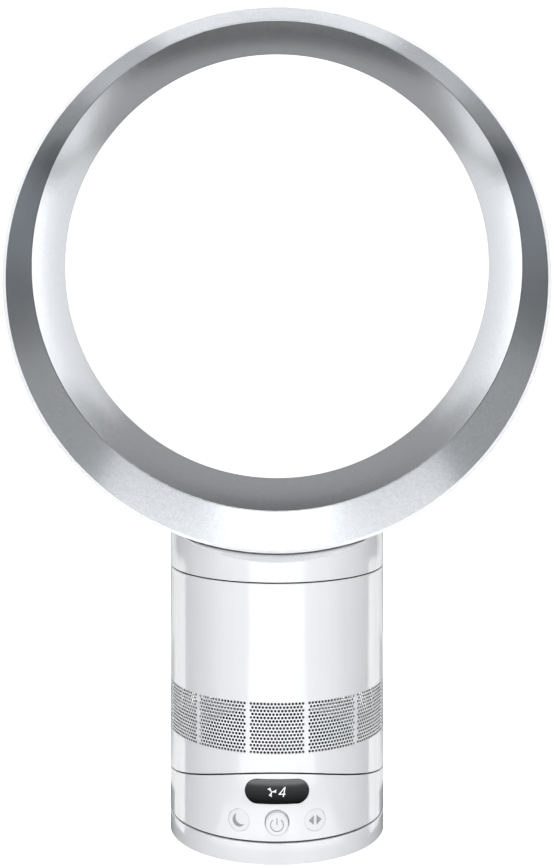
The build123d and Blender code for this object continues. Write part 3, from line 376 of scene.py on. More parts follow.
@dataclass(frozen=True)
class SmokedWindow(Finish):
    """Smoked acrylic with a painted reflection that lightens it towards the top.

    The painted reflection fades from grey at the window's upper edge to near black at its lower one,
    under a polished face that keeps sharp reflections.

    Attributes:
        upper: sRGB hex code of the painted reflection at the upper edge.
        low: Height of the window's lower edge in metres.
        high: Height of its upper edge in metres.
        dot: Size of the dots of a fine noise over the painted reflection, in millimetres.
        darkest: Share of the fade's tone that the darkest dots keep.
        ior: Index of refraction of acrylic.
    """

    upper: str
    low: float
    high: float
    dot: float
    darkest: float = 0.88
    ior: float = 1.49

    def dress(self, skin: Skin) -> None:
        """Add the painted reflection, lighter towards the top, and its fine dotted noise.

        Args:
            skin: The material's shader.
        """
        skin.fix("IOR", self.ior)
        height = add_node(skin.tree, "ShaderNodeSeparateXYZ", {"Vector": skin.place}).outputs["Z"]
        # Painted reflection: the colour lightens from the window's lower edge to its upper one.
        fade = skin.ranged(height, (self.low, self.high), (0.0, 1.0))
        screen = skin.ranged(skin.noise(self.dot, detail=1.0), (0.0, 1.0), (self.darkest, 1.0))
        shade = add_node(skin.tree, "ShaderNodeMath", {0: fade, 1: screen}, operation="MULTIPLY")
        skin.tone(shade.outputs["Value"], self.colour, self.upper)


@dataclass(frozen=True)
class MouldedRubber(Finish):
    """Moulded rubber.

    A matt, slightly dusty surface: broad dim highlights, and a bloom that lightens it in patches.

    Attributes:
        bloom: sRGB hex code of the bloomed patches.
        grain: Size of the surface grain in millimetres.
        ior: Index of refraction.
        patch: Size of the bloomed patches in millimetres.
        depth: Depth of the grain in millimetres.
    """

    bloom: str
    grain: float
    ior: float = 1.52
    patch: float = 12.0
    depth: float = 0.02

    def dress(self, skin: Skin) -> None:
        """Add the bloom and the grain.

        Args:
            skin: The material's shader.
        """
        skin.fix("IOR", self.ior)
        skin.tone(skin.noise(self.patch, detail=4.0), self.colour, self.bloom)
        skin.relief(skin.noise(self.grain, detail=2.0), self.depth, strength=0.6)


class Working(Enum):
    """How a metal's surface was worked, as the stretch of its marks along X, Y and Z."""

    TURNED = (0.15, 0.15, 6.0)
    ROLLED = (1.0, 1.0, 1.0)
    STACKED = (0.02, 0.02, 1.0)


@dataclass(frozen=True)
class WorkedMetal(Finish):
    """Bare or plated metal.

    Turning leaves fine rings that spread a highlight along the axis, plating leaves soft spangles,
    and a stack of stamped sheets shows its edges as thin lines.

    Attributes:
        working: How the surface was made.
        mark: Distance between marks in millimetres.
        dull: sRGB hex code in the marks.
        depth: Depth of the marks in millimetres.
    """

    working: Working
    mark: float
    dull: str
    depth: float = 0.01

    def dress(self, skin: Skin) -> None:
        """Add the marks to the tone, the gloss and the relief.

        Args:
            skin: The material's shader.
        """
        skin.fix("Metallic", 1.0)
        stretch = {"Vector": skin.place, "Scale": self.working.value}
        stretched = add_node(skin.tree, "ShaderNodeMapping", stretch, vector_type="POINT")
        marks = replace(skin, place=stretched.outputs["Vector"]).noise(self.mark, detail=3.0)
        skin.tone(marks, self.colour, self.dull)
        skin.gloss(marks, self.roughness, spread=0.08)
        skin.relief(marks, self.depth, strength=0.7)


@dataclass(frozen=True)
class CellularSolid(Finish):
    """Grains or pores side by side: pitted ferrite, or foam with painted shade in the pore at each cell.

    Attributes:
        cell: Size of a grain or a pore in millimetres.
        core: sRGB hex code in its middle.
        edge: sRGB hex code at its edge.
        depth: Depth of the relief in millimetres.
        strength: How much of the relief shows.
    """

    cell: float
    core: str
    edge: str
    depth: float
    strength: float

    def dress(self, skin: Skin) -> None:
        """Add the cells to the tone and the relief.

        Args:
            skin: The material's shader.
        """
        cells = skin.cells(self.cell)["Distance"]
        skin.tone(cells, self.core, self.edge)
        skin.relief(cells, self.depth, self.strength)


@dataclass(frozen=True)
class SolderMask(Finish):
    """Glass-epoxy circuit board under green solder mask.

    The copper tracks show through the mask as slightly paler, raised runs.

    Attributes:
        track: sRGB hex code of the mask over copper.
        pitch: Distance between tracks in millimetres.
        width: Width of a track, as a share of the pitch.
        run: Length between crossings, in pitches.
        depth: Height of the tracks in millimetres.
    """

    track: str
    pitch: float
    width: float = 0.12
    run: float = 6.0
    depth: float = 0.04

    def dress(self, skin: Skin) -> None:
        """Add the tracks to the tone and the relief.

        Args:
            skin: The material's shader.
        """
        layout = {
            "Vector": skin.place,
            "Scale": 1 / (self.pitch * MM),
            "Mortar Size": self.width,
            "Brick Width": self.run,
            "Row Height": 1.0,
            "Color1": linear(self.colour),
            "Color2": linear(self.colour),
            "Mortar": linear(self.track),
        }
        runs = add_node(skin.tree, "ShaderNodeTexBrick", layout)
        skin.feed("Base Color", runs.outputs["Color"])
        skin.relief(runs.outputs["Fac"], self.depth, strength=0.8)


@dataclass(frozen=True)
class PrintedInk(Finish):
    """Pad-printed ink: a thin satin film with a slightly uneven lay.

    Attributes:
        thin: sRGB hex code where the film is thinnest.
        glow: Strength of the light that shines through the print, or nothing.
        lay: Size of the uneven patches in millimetres.
    """

    thin: str
    glow: float = 0.0
    lay: float = 1.2

    def dress(self, skin: Skin) -> None:
        """Add the uneven lay of the ink, and the light behind it.

        Args:
            skin: The material's shader.
        """
        tone = skin.tone(skin.noise(self.lay, detail=2.0), self.colour, self.thin)
        if self.glow:
            skin.feed("Emission Color", tone)
            skin.fix("Emission Strength", self.glow)


# Each record slot's finish. Its name, colour and roughness come first.
FINISHES: dict[str, Finish] = {
    # ABS from a polished tool: clean cool white with sharp reflections and a faint ripple.
    "white_casing": MouldedPlastic(
        "abs_polished_white", "#F0F1F3", 0.13, ior=1.53, grain=9.0, depth=0.003, shade="#ECEDF0"
    ),
    # ABS from a lapped tool: the same white, a shade greyer and softer in gloss.
    "white_button": MouldedPlastic(
        "abs_satin_white", "#ECEDEF", 0.28, ior=1.53, grain=1.6, depth=0.002, shade="#E7E8EB"
    ),
    # Powder-coated steel sheet: white with a low orange-peel gloss.
    "grille_sheet": MouldedPlastic(
        "powder_coat_white", "#EFF0F2", 0.3, ior=1.5, grain=1.5, depth=0.003, shade="#E9EAED"
    ),
    # Aluminium-flake lacquer: soft silver with a slightly blue cast.
    "silver_trim": FlakeLacquer(
        "lacquer_silver_flake", "#CDD1D6", 0.2, flake=0.7, pale="#D9DCE0", ripple=6.0, depth=0.002
    ),
    # Smoked acrylic: near black with sharp reflections, and a painted reflection that turns it grey towards
    # the top.
    "smoked_window": SmokedWindow(
        "acrylic_smoked", "#050506", 0.06, upper="#4A4B4D", low=39.4 * MM, high=55.0 * MM, dot=0.5
    ),
    # ABS from a spark-eroded tool: dark grey with an even fine grain, darkened as painted shade so that
    # little shows inside.
    "grey_moulding": MouldedPlastic(
        "abs_eroded_grey", "#2B2C2F", 0.55, ior=1.53, grain=0.8, depth=0.02, shade="#333538"
    ),
    # Glass-filled nylon: dark and dry, with the fibres showing as a fine mottling.
    "impeller_nylon": MouldedPlastic(
        "nylon_glass_filled", "#3E4043", 0.46, 1.53, 0.6, 0.02, "#4B4D50", drift=6.0, gloss_drift=0.06
    ),
    # Acetal: black and waxy.
    "slide_plastic": MouldedPlastic(
        "acetal_black", "#1E1F20", 0.38, ior=1.48, grain=1.2, depth=0.005, shade="#26272A"
    ),
    # Nitrile rubber: matt black.
    "black_rubber": MouldedRubber("rubber_nitrile", "#1A1A1B", 0.72, bloom="#29292B", grain=0.5),
    # Silicone rubber: dark grey, softer and drier.
    "soft_rubber": MouldedRubber("rubber_silicone", "#55575A", 0.6, bloom="#616366", grain=0.4, ior=1.41),
    # Zinc-plated turned steel: bright, with fine rings.
    "bright_steel": WorkedMetal(
        "steel_zinc_plated", "#C3C5C8", 0.27, Working.TURNED, mark=0.5, dull="#ADAFB3"
    ),
    # Galvanised drawn can: pale metal with soft spangles.
    "zinc_can": WorkedMetal("zinc_spangled", "#B0B3B6", 0.38, Working.ROLLED, mark=3.0, dull="#989B9F"),
    # Stamped electrical steel: dull sheet edges, drawn at 1 mm so that they show.
    "stator_iron": WorkedMetal(
        "steel_laminated", "#85878A", 0.45, Working.STACKED, mark=1.0, dull="#5A5C5F", depth=0.05
    ),
    # Sintered ferrite: charcoal ceramic.
    "magnet_ferrite": CellularSolid(
        "ferrite_sintered", "#2B2C2E", 0.58, 0.5, core="#2B2C2E", edge="#3A3B3D", depth=0.05, strength=0.5
    ),
    # Glass-epoxy board: dark green under a satin mask.
    "circuit_board": SolderMask("solder_mask_green", "#1E4A34", 0.34, track="#2C6647", pitch=1.6),
    # Epoxy moulding compound: charcoal with a fine dry grain.
    "black_component": MouldedPlastic(
        "epoxy_moulded", "#232426", 0.55, ior=1.55, grain=0.5, depth=0.01, shade="#2C2D2F"
    ),
    # Polyurethane foam: soft grey with open cells, each darker in its middle as painted shade in its pore.
    "grey_foam": CellularSolid(
        "foam_open_cell", "#66686B", 0.95, 1.6, core="#2A2B2D", edge="#66686B", depth=0.4, strength=0.9
    ),
}
# Dark grey painted shade on the back of the inlet sheets and in their holes: dark dots, paler when seen
# aslant.
INLET_PAINTED_SHADE = MouldedPlastic(
    "painted_shade_grey", "#3A3C3F", 0.75, ior=1.5, grain=0.6, depth=0.01, shade="#434548"
)
# Pad print on the keys: mid grey and satin.
KEY_PRINT = PrintedInk("ink_grey", "#96989C", 0.45, thin="#A2A4A8")
# Print on the window with a lamp behind it: white and evenly lit.
LIT_PRINT = PrintedInk("print_lit_white", "#E4E6E8", 0.4, thin="#D2D5D7", glow=0.6)


# ---- inlet


class Surface(IntEnum):
    """The parts of a perforated sheet's surface."""

    FRONT = 0
    BACK = 1
    HOLE = 2
    RIM = 3


@dataclass
class Inlet:
    """The ring of finely perforated sheets that the air enters through.

    Attributes:
        radius: Outer radius of a sheet.
        thickness: Thickness of a sheet.
        sheets: How many sheets stand round the casing.
        half_span: Half of the angle that one sheet spans, in degrees.
        low: Height of a sheet's lower edge.
        high: Height of its upper edge.
        rows: Rows of holes. Every other row is one hole shorter and half a pitch along.
        columns: Holes in the longer rows.
        row_pitch: Distance from one row to the next.
        column_pitch: Angle from one hole to the next, in degrees.
        hole: Radius of a hole.
    """

    radius: float = 72.4 * MM
    thickness: float = 0.45 * MM
    sheets: int = 12
    half_span: float = 14.0
    low: float = 70.9 * MM
    high: float = 103.9 * MM
    rows: int = 15
    columns: int = 16
    row_pitch: float = 2.204 * MM
    column_pitch: float = 1.779
    hole: float = 0.83 * MM

    def bent(self, flat: Grid, turn: float) -> Grid:
        """Bend flat sheet coordinates round the casing.

        The first coordinate is an arc along the sheet, the second a height above its middle and
        the third a depth into it. A point's angle is the arc over the radius, plus the turn.

        Args:
            flat: Points as arc, height and depth, one row each.
            turn: Angle of the sheet's middle from the front, in radians.

        Returns:
            The points in the model's frame.
        """
        limit = math.radians(self.half_span) * self.radius
        half = (self.high - self.low) / 2
        angle = np.clip(flat[:, 0], -limit, limit) / self.radius + turn
        reach = self.radius - flat[:, 2]
        height = np.clip(flat[:, 1], -half, half) + (self.low + self.high) / 2
        return np.stack([reach * np.sin(angle), -reach * np.cos(angle), height], axis=-1)

    @property
    def step(self) -> Grid:
        """The pitches along and up, in metres."""
        return np.array([math.radians(self.column_pitch) * self.radius, self.row_pitch])

    def rows_up(self, shift: int) -> Grid:
        """Heights of the long rows' middles (shift 0) or the short ones' (shift 1), in pitches."""
        return np.arange(shift, self.rows, 2) - (self.rows - 1) / 2

    def middles(self, shift: int) -> Grid:
        """Middles of the cells in the long rows (shift 0) or the short ones (shift 1), in pitches."""
        across = np.arange(self.columns - shift) - (self.columns - 1 - shift) / 2
        return np.stack(np.meshgrid(across, self.rows_up(shift)), axis=-1).reshape(-1, 2)

    def both_sides(self, flat: Grid) -> Grid:
        """Give patches of shape (patches, points, 2) a front, and a back at the sheet's thickness."""
        front = np.concatenate([flat, np.zeros((*flat.shape[:2], 1))], axis=-1)
        return np.concatenate([front, front + np.array([0, 0, self.thickness])], axis=1)

    def cells(self) -> Patches:
        """Lay out the cells, one pitch wide and high, with a hole in the middle of each.

        A border has a point at each corner, at the quarters of its lower and upper edges and at
        the middle of its sides, so the cells of a row half a pitch along meet it point for point.
        Each border point is joined to its own point on the hole.

        Returns:
            The cells.
        """
        quarters = [(2, 0), (2, 2), (1, 2), (0, 2), (-1, 2), (-2, 2)]
        border = np.array(quarters + [(-x, -y) for x, y in quarters]) / 4
        sides = len(border)
        turn = np.arange(sides) * 2 * math.pi / sides
        hole = self.hole * np.stack([np.cos(turn), np.sin(turn)], axis=-1)
        middles = (np.concatenate([self.middles(0), self.middles(1)]) * self.step)[:, None]
        flat = np.concatenate([middles + border * self.step, middles + hole], axis=1)
        outside, inside, outside_back, inside_back = np.arange(4 * sides).reshape(4, sides)
        faces = [band(outside, inside), band(inside_back, outside_back), band(inside, inside_back)]
        kinds = np.repeat([Surface.FRONT, Surface.BACK, Surface.HOLE], sides)
        return self.both_sides(flat), np.concatenate(faces), kinds

    def half_cells(self) -> Patches:
        """Lay out the half cells at both ends of the short rows, which have no hole.

        Returns:
            The half cells.
        """
        border = np.array([(1, -2), (2, -2), (2, 0), (2, 2), (1, 2), (0, 2), (0, 0), (0, -2)]) / 4
        ends = (-self.columns / 2, (self.columns - 1) / 2)
        places = np.stack(np.meshgrid(ends, self.rows_up(1)), axis=-1).reshape(-1, 1, 2)
        corners = np.arange(len(border))
        faces = np.stack([corners, corners[::-1] + len(border)])
        kinds = np.array([Surface.FRONT, Surface.BACK])
        return self.both_sides((border + places) * self.step), faces, kinds

    def rim(self) -> Patches:
        """Lay out the rim, whose points are those of the outermost cells.

        Returns:
            The rim, as one patch.
        """
        wide = np.arange(-2 * self.columns, 2 * self.columns + 1) * self.step[0] / 4
        tall = np.arange(-self.rows, self.rows + 1) * self.step[1] / 2
        runs = [(wide, tall[0]), (wide[-1], tall), (wide[::-1], tall[-1]), (wide[0], tall[::-1])]
        edge = np.concatenate([np.stack(np.broadcast_arrays(*run), axis=-1)[:-1] for run in runs])
        front, back = np.arange(2 * len(edge)).reshape(2, -1)
        return self.both_sides(edge[None]), band(back, front), np.full(len(edge), Surface.RIM)

    def flat_sheet(self) -> tuple[Grid, list[Grid], Grid]:
        """Put the patches of one flat sheet together.

        Returns:
            The points as arc, height and depth, the groups of faces, and one Surface number for
            each face.
        """
        points, faces, kinds, count = [], [], [], 0
        for patches, template, kind in (self.cells(), self.half_cells(), self.rim()):
            start = count + np.arange(len(patches))[:, None, None] * patches.shape[1]
            points.append(patches.reshape(-1, 3))
            faces.append((template + start).reshape(-1, template.shape[-1]))
            kinds.append(np.tile(kind, len(patches)))
            count += len(points[-1])
        return np.concatenate(points), faces, np.concatenate(kinds)

    def build(self, paint: Material, painted_shade: Material) -> list[Piece]:
        """Build every sheet and hang it on the fan body.

        Args:
            paint: Finish of the sheets' fronts and rims.
            painted_shade: Dark grey finish of their backs and of the holes, which paints the shade in the
                holes.

        Returns:
            The sheets.
        """
        flat, groups, kinds = self.flat_sheet()
        curved = np.isin(kinds, [Surface.FRONT, Surface.BACK])
        # The backs and the hole walls take the dark grey painted shade, so that the holes read dark.
        painted_shade_faces = np.isin(kinds, [Surface.BACK, Surface.HOLE]).astype(np.int32)
        made = []
        for i in range(self.sheets):
            bent = self.bent(flat, 2 * math.pi * i / self.sheets)
            sheet = new_piece(f"inlet_sheet_{i + 1:02d}", *merged(bent, groups), curved)
            sheet.data.materials.append(paint)
            sheet.data.materials.append(painted_shade)
            sheet.data.polygons.foreach_set("material_index", painted_shade_faces)
            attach(sheet, "fan_body")
            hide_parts("inlet_grille")
            made.append(sheet)
        return made


# ---- marks


@dataclass(frozen=True)
class Face:
    """The face that a mark is printed on, either curved round the base's axis or flat.

    Attributes:
        body: Body that carries the face.
        height: Height of the mark's middle.
        reach: Distance of the face from the axis.
        turn: Angle of the mark's middle from the front, in degrees.
        curved: Whether the face follows the casing's curve.
        lift: How far the print stands off the face.
        film: Thickness of the print.
    """

    body: str
    height: float
    reach: float
    turn: float = 0.0
    curved: bool = True
    lift: float = 0.01 * MM
    film: float = 0.05 * MM

    def placed(self, drawing: Grid, out: float) -> Grid:
        """Put a drawing on the face.

        On a curved face the drawing's first coordinate is an arc, so its angle is that arc over
        the reach, plus the turn.

        Args:
            drawing: Points across and up, in millimetres.
            out: Distance outwards from the face, in metres.

        Returns:
            The points in the model's frame.
        """
        across, up = drawing[..., 0] * MM, drawing[..., 1] * MM + self.height
        reach = self.reach + out
        if not self.curved:
            return np.stack([across, np.full_like(across, -reach), up], axis=-1)
        angle = across / self.reach + math.radians(self.turn)
        return np.stack([reach * np.sin(angle), -reach * np.cos(angle), up], axis=-1)


def strip(first: Grid, second: Grid, steps: int = 2) -> Grid:
    """Span two matching edges with a ruled strip.

    A point of the strip lies a fraction of the way from the first edge to the second.

    Args:
        first: The lower edge's points, left to right.
        second: The upper edge's points, left to right.
        steps: Rows across the strip.

    Returns:
        A grid of points of shape (steps, points, 2).
    """
    share = np.linspace(0, 1, steps)[:, None, None]
    return first[None] * (1 - share) + second[None] * share


def arc(centre: Spot, radius: float, start: float, end: float, count: int = 33) -> Grid:
    """Points along an arc, from the start angle to the end angle in degrees."""
    angle = np.radians(np.linspace(start, end, count))
    return np.stack([centre[0] + radius * np.cos(angle), centre[1] + radius * np.sin(angle)], axis=-1)


def line(start: Spot, end: Spot, count: int = 7) -> Grid:
    """Points evenly along a straight line between two places."""
    share = np.linspace(0, 1, count)[:, None]
    return np.array(start) * (1 - share) + np.array(end) * share


class Mark(Enum):
    """The generic signs on the controls."""

    MOON = "moon"
    POWER = "power"
    ARROWS = "arrows"
    ROTOR = "rotor"
    FOUR = "four"


@dataclass
class Marks:
    """The signs printed on the keys and shown in the window, drawn in millimetres.

    Attributes:
        window: Face of the display window.
        sleep: Face of the left key.
        swing: Face of the right key.
        power: Flat face of the middle key.
    """

    window: Face
    sleep: Face
    swing: Face
    power: Face

    @staticmethod
    def moon() -> list[Grid]:
        """Draw a crescent between two circles of one radius.

        Returns:
            The sign's one strip, which ends where the circles cross.
        """
        radius, offset = 4.3, (2.0, 1.7)
        outer = arc((0.0, 0.0), radius, 112.7, 328.2)
        inner = arc(offset, radius, 148.2, 292.7)
        return [strip(outer, inner, 4)]

    @staticmethod
    def power_sign() -> list[Grid]:
        """Draw a ring open at the top, and a bar in its gap.

        Returns:
            The strips of the ring and the bar.
        """
        middle, outer, inner = (0.0, 0.0), 4.4, 3.75
        start, end, count = 127.0, 413.0, 61
        half, top = 0.32, 4.3
        ring = strip(arc(middle, outer, start, end, count), arc(middle, inner, start, end, count))
        bar = strip(line((-half, 0.0), (half, 0.0), 3), line((-half, top), (half, top), 3), 7)
        return [ring, bar]

    @staticmethod
    def arrows() -> list[Grid]:
        """Draw two triangles that point left and right.

        Returns:
            One strip for each.
        """
        root, tip, half = 0.9, 4.4, 3.2
        right = strip(line((root, -half), (tip, 0.0)), line((root, half), (tip, 0.0)), 7)
        left = right[:, ::-1] * np.array([-1.0, 1.0])
        return [left, right]

    @staticmethod
    def rotor() -> list[Grid]:
        """Draw three blades whose half width grows with the square of the distance from the hub.

        Returns:
            One strip for each blade.
        """
        hub, length, lean, left = 0.2, 2.6, 0.5, -3.34
        narrow, flare = 0.25, 0.85
        out = np.linspace(0.0, 1.0, 9)
        reach = hub + length * out
        half = narrow + flare * out**2
        edges = [np.stack([reach, side * half + lean * out], axis=-1) for side in (-1, 1)]
        blades = []
        for turn in np.radians([0.0, 120.0, 240.0]):
            spin = np.array([[np.cos(turn), np.sin(turn)], [-np.sin(turn), np.cos(turn)]])
            blades.append(strip(edges[0] @ spin, edges[1] @ spin, 5) + np.array([left, 0.0]))
        return blades

    @staticmethod
    def four() -> list[Grid]:
        """Draw the figure 4 in three strokes, leaning by a fifth of its height.

        Returns:
            The strips of the stem, the bar and the slanting stroke.
        """
        half, top, right = 2.2, 3.1, 3.5
        near, far = 0.8, 1.4
        bar_low, bar_high, corner, stroke = -1.7, -1.15, -1.6, 0.7
        stem = strip(line((near, -top), (far, -top), 3), line((near, top), (far, top), 3), 9)
        bar = strip(line((-half, bar_low), (half, bar_low)), line((-half, bar_high), (half, bar_high)))
        foot = line((-half, corner), (stroke - half, corner), 3)
        slant = strip(foot, line((far - stroke, top), (far, top), 3), 9)
        lean = np.array([[1.0, 0.0], [0.2, 1.0]])
        return [part @ lean + np.array([right, 0.0]) for part in (stem, bar, slant)]

    def printed(self, mark: Mark, drawing: list[Grid], face: Face, material: Material) -> None:
        """Print one sign as a thin film.

        Args:
            mark: Which sign it is.
            drawing: Its strips, as points across and up in millimetres.
            face: The face that it is printed on.
            material: Its finish.
        """
        points, faces, count = [], [], 0
        for grid in drawing:
            ink, under = face.placed(grid, face.lift + face.film), face.placed(grid, face.lift)
            shell, quads = closed_sheet(ink, under)
            points.append(shell)
            faces.append(quads + count)
            count += len(shell)
        piece = new_piece(f"mark_{mark.value}", np.concatenate(points), np.concatenate(faces).tolist())
        piece.data.materials.append(material)
        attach(piece, face.body)
        LOG.info("mark %s: %d faces", mark.value, len(piece.data.polygons))

    def build(self, ink: Material, light: Material) -> None:
        """Print every sign.

        Args:
            ink: Finish of the signs on the keys.
            light: Finish of the signs in the window.
        """
        self.printed(Mark.MOON, self.moon(), self.sleep, ink)
        self.printed(Mark.POWER, self.power_sign(), self.power, ink)
        self.printed(Mark.ARROWS, self.arrows(), self.swing, ink)
        self.printed(Mark.ROTOR, self.rotor(), self.window, light)
        self.printed(Mark.FOUR, self.four(), self.window, light)


# ---- studio


@dataclass(frozen=True)
class SoftBox:
    """A rectangular lamp behind diffusing cloth, which lights matt surfaces.

    Polished surfaces mirror the reflection cards instead, so that each can be set by itself.

    Attributes:
        name: Lamp name.
        place: Where its middle stands.
        aim: Height on the fan's axis that it points at.
        width: Its width.
        height: Its height.
        radiance: How bright its face is, where 1 is white.
    """

    name: str
    place: Place
    aim: float
    width: float
    height: float
    radiance: float

    def build(self) -> None:
        """Hang the lamp. Its power is its radiance times its area times pi."""
        lamp = bpy.data.lights.new(self.name, "AREA")
        lamp.shape = "RECTANGLE"
        lamp.size, lamp.size_y = self.width, self.height
        lamp.energy = self.radiance * self.width * self.height * math.pi
        held = bpy.data.objects.new(self.name, lamp)
        held.location = self.place
        toward = Vector((0.0, 0.0, self.aim)) - Vector(self.place)
        held.rotation_euler = toward.to_track_quat("-Z", "Y").to_euler()
        held.visible_camera = False
        held.visible_glossy = False
        bpy.context.scene.collection.objects.link(held)


# The lamps that light the photograph's fan, as far as its shading shows them.
LAMPS = (
    SoftBox("lamp_front", (0.0, -1.7, 0.23), 0.15, 1.1, 0.42, 10.5),
    SoftBox("lamp_high", (0.0, -1.5, 1.1), 0.25, 0.9, 0.6, 2.0),
    SoftBox("lamp_top", (0.0, -0.3, 1.4), 0.2, 0.9, 0.6, 5.5),
    SoftBox("lamp_back_left", (-1.0, 1.15, 0.45), 0.3, 0.8, 0.8, 5.0),
    SoftBox("lamp_back_right", (1.0, 1.15, 0.45), 0.3, 0.8, 0.8, 5.0),
)


@dataclass(frozen=True)
class Card:
    """A flat card that only reflections see, pale or dark.

    Attributes:
        name: Card name.
        corners: Its corners in order, one row each.
        radiance: How bright it looks, where 1 is white.
        twin: Whether a second card mirrors it on the other side of the fan.
    """

    name: str
    corners: Grid
    radiance: float
    twin: bool = False

    def build(self) -> None:
        """Stand the card, and its twin, in the studio."""
        made = empty_material(self.name)
        glow = add_node(made.node_tree, "ShaderNodeEmission", {"Strength": self.radiance})
        add_node(made.node_tree, "ShaderNodeOutputMaterial", {"Surface": glow.outputs["Emission"]})
        sides = {self.name: 1.0, f"{self.name}_twin": -1.0} if self.twin else {self.name: 1.0}
        for name, side in sides.items():
            outline = self.corners * np.array([side, 1.0, 1.0])
            card = new_piece(name, outline, [list(range(len(outline)))])
            card.data.materials.append(made)
            for ray in ("camera", "diffuse", "shadow", "transmission"):
                setattr(card, f"visible_{ray}", False)


def panel(low: Place, high: Place) -> Grid:
    """Corners of a rectangle square to the room.

    It spans the two axes along which its lowest and highest corner differ.

    Args:
        low: Its lowest corner.
        high: Its highest corner.

    Returns:
        Its corners in order.
    """
    start, end = np.array(low), np.array(high)
    first, second = np.flatnonzero(end > start)
    corners = np.repeat(start[None], 4, axis=0)
    corners[1:3, first] = end[first]
    corners[2:4, second] = end[second]
    return corners


def sector(turn: Span, reach: Span, height: float = 5 * MM) -> Grid:
    """Corners of a piece of a ring on the floor, round the fan's axis.

    A corner lies at its distance times the sine and cosine of its angle from straight behind.

    Args:
        turn: The two angles that it lies between, in degrees.
        reach: The two distances that it lies between.
        height: Its height.

    Returns:
        Its corners in order.
    """
    angle = np.radians(np.linspace(*turn, 7))
    ring = np.stack([np.sin(angle), np.cos(angle)], axis=-1)
    outline = np.concatenate([ring * reach[0], ring[::-1] * reach[1]])
    return np.column_stack([outline, np.full(len(outline), height)])


def ramp(near: tuple[Spot, ...], far: tuple[Spot, ...], rise: Span) -> Grid:
    """Corners of a card that spans two lines in plan, each at its own height."""
    plan = [(*near[0], rise[0]), (*far[0], rise[1]), (*far[1], rise[1]), (*near[1], rise[0])]
    return np.array(plan)


@dataclass(frozen=True)
class Camera:
    """The photograph's camera, which stands level in front of the fan.

    Attributes:
        distance: How far it stands from the fan's axis.
        height: Its height.
        lens: Focal length in millimetres, where the picture's longer side is 36 mm.
        shift: Shift of the lens upwards, as a share of the picture's longer side.
    """

    distance: float = 1.041
    height: float = 0.37675
    lens: float = 63.148
    shift: float = -0.18466

    def build(self) -> None:
        """Stand the camera in the scene."""
        made = bpy.data.cameras.new("camera")
        made.lens = self.lens
        made.shift_y = self.shift
        held = bpy.data.objects.new("camera", made)
        held.location = (0.0, -self.distance, self.height)
        held.rotation_euler = (math.pi / 2, 0.0, 0.0)
        bpy.context.scene.collection.objects.link(held)
        bpy.context.scene.camera = held


@dataclass
class Studio:
    """A white studio: pale floor and backdrop, soft lamps and reflection cards.

    Attributes:
        lamps: The soft boxes.
        cards: The reflection cards.
        reach: Half width of the floor.
        wall_high: Height of the backdrop.
        ambient: Strength of the light from all round.
        floor_paint: sRGB hex code of the floor.
        floor_glow: How bright the floor looks of itself to the eye and in reflections.
        wall_paint: sRGB hex code of the backdrop.
        wall_glow: How bright the backdrop looks of itself.
    """

    lamps: tuple[SoftBox, ...]
    cards: tuple[Card, ...]
    reach: float = 3.0
    wall_high: float = 2.6
    ambient: float = 0.1
    floor_paint: str = "#DCDDDE"
    floor_glow: float = 0.93
    wall_paint: str = "#E8E9EA"
    wall_glow: float = 1.0

    @staticmethod
    def seen(tree: Tree, strength: float) -> Socket:
        """A strength that only the eye, reflections and clear materials meet.

        Args:
            tree: Node tree to add to.
            strength: The strength for them.

        Returns:
            The socket that carries it.
        """
        ray = add_node(tree, "ShaderNodeLightPath").outputs
        met = ray["Is Camera Ray"]
        for other in ("Is Glossy Ray", "Is Transmission Ray"):
            both = {0: met, 1: ray[other]}
            met = add_node(tree, "ShaderNodeMath", both, operation="MAXIMUM").outputs[0]
        lit = {0: met, 1: strength}
        return add_node(tree, "ShaderNodeMath", lit, operation="MULTIPLY").outputs[0]

    def sheet(self, name: str, corners: tuple[Place, ...], paint: str, glow: float) -> None:
        """Stand or lay one sheet of the studio's matt paper.

        Args:
            name: Piece name.
            corners: Its corners in order.
            paint: sRGB hex code of the paper.
            glow: How bright it looks of itself.
        """
        made = empty_material(f"paper_{name}")
        look = {
            "Base Color": linear(paint),
            "Roughness": 1.0,
            "Specular IOR Level": 0.0,
            "Emission Color": WHITE,
            "Emission Strength": self.seen(made.node_tree, glow),
        }
        shader = add_node(made.node_tree, "ShaderNodeBsdfPrincipled", look)
        add_node(made.node_tree, "ShaderNodeOutputMaterial", {"Surface": shader.outputs["BSDF"]})
        piece = new_piece(name, np.array(corners), [list(range(len(corners)))])
        piece.data.materials.append(made)

    def build(self) -> None:
        """Lay the floor, hang the backdrop and lamps, stand the cards and light the room."""
        r, h = self.reach, self.wall_high
        floor = ((-r, -r, 0), (r, -r, 0), (r, r, 0), (-r, r, 0))
        self.sheet("floor", floor, self.floor_paint, self.floor_glow)
        wall = ((-r, r, 0), (r, r, 0), (r, r, h), (-r, r, h))
        self.sheet("backdrop", wall, self.wall_paint, self.wall_glow)
        for part in (*self.lamps, *self.cards):
            part.build()
        world = bpy.data.worlds.new("studio")
        world.use_nodes = True
        tree = world.node_tree
        tree.nodes.clear()
        shares = {0: self.seen(tree, 1.0 - self.ambient), 1: self.ambient}
        white = add_node(tree, "ShaderNodeMath", shares, operation="ADD").outputs[0]
        sky = add_node(tree, "ShaderNodeBackground", {"Color": WHITE, "Strength": white})
        add_node(tree, "ShaderNodeOutputWorld", {"Surface": sky.outputs["Background"]})
        bpy.context.scene.world = world


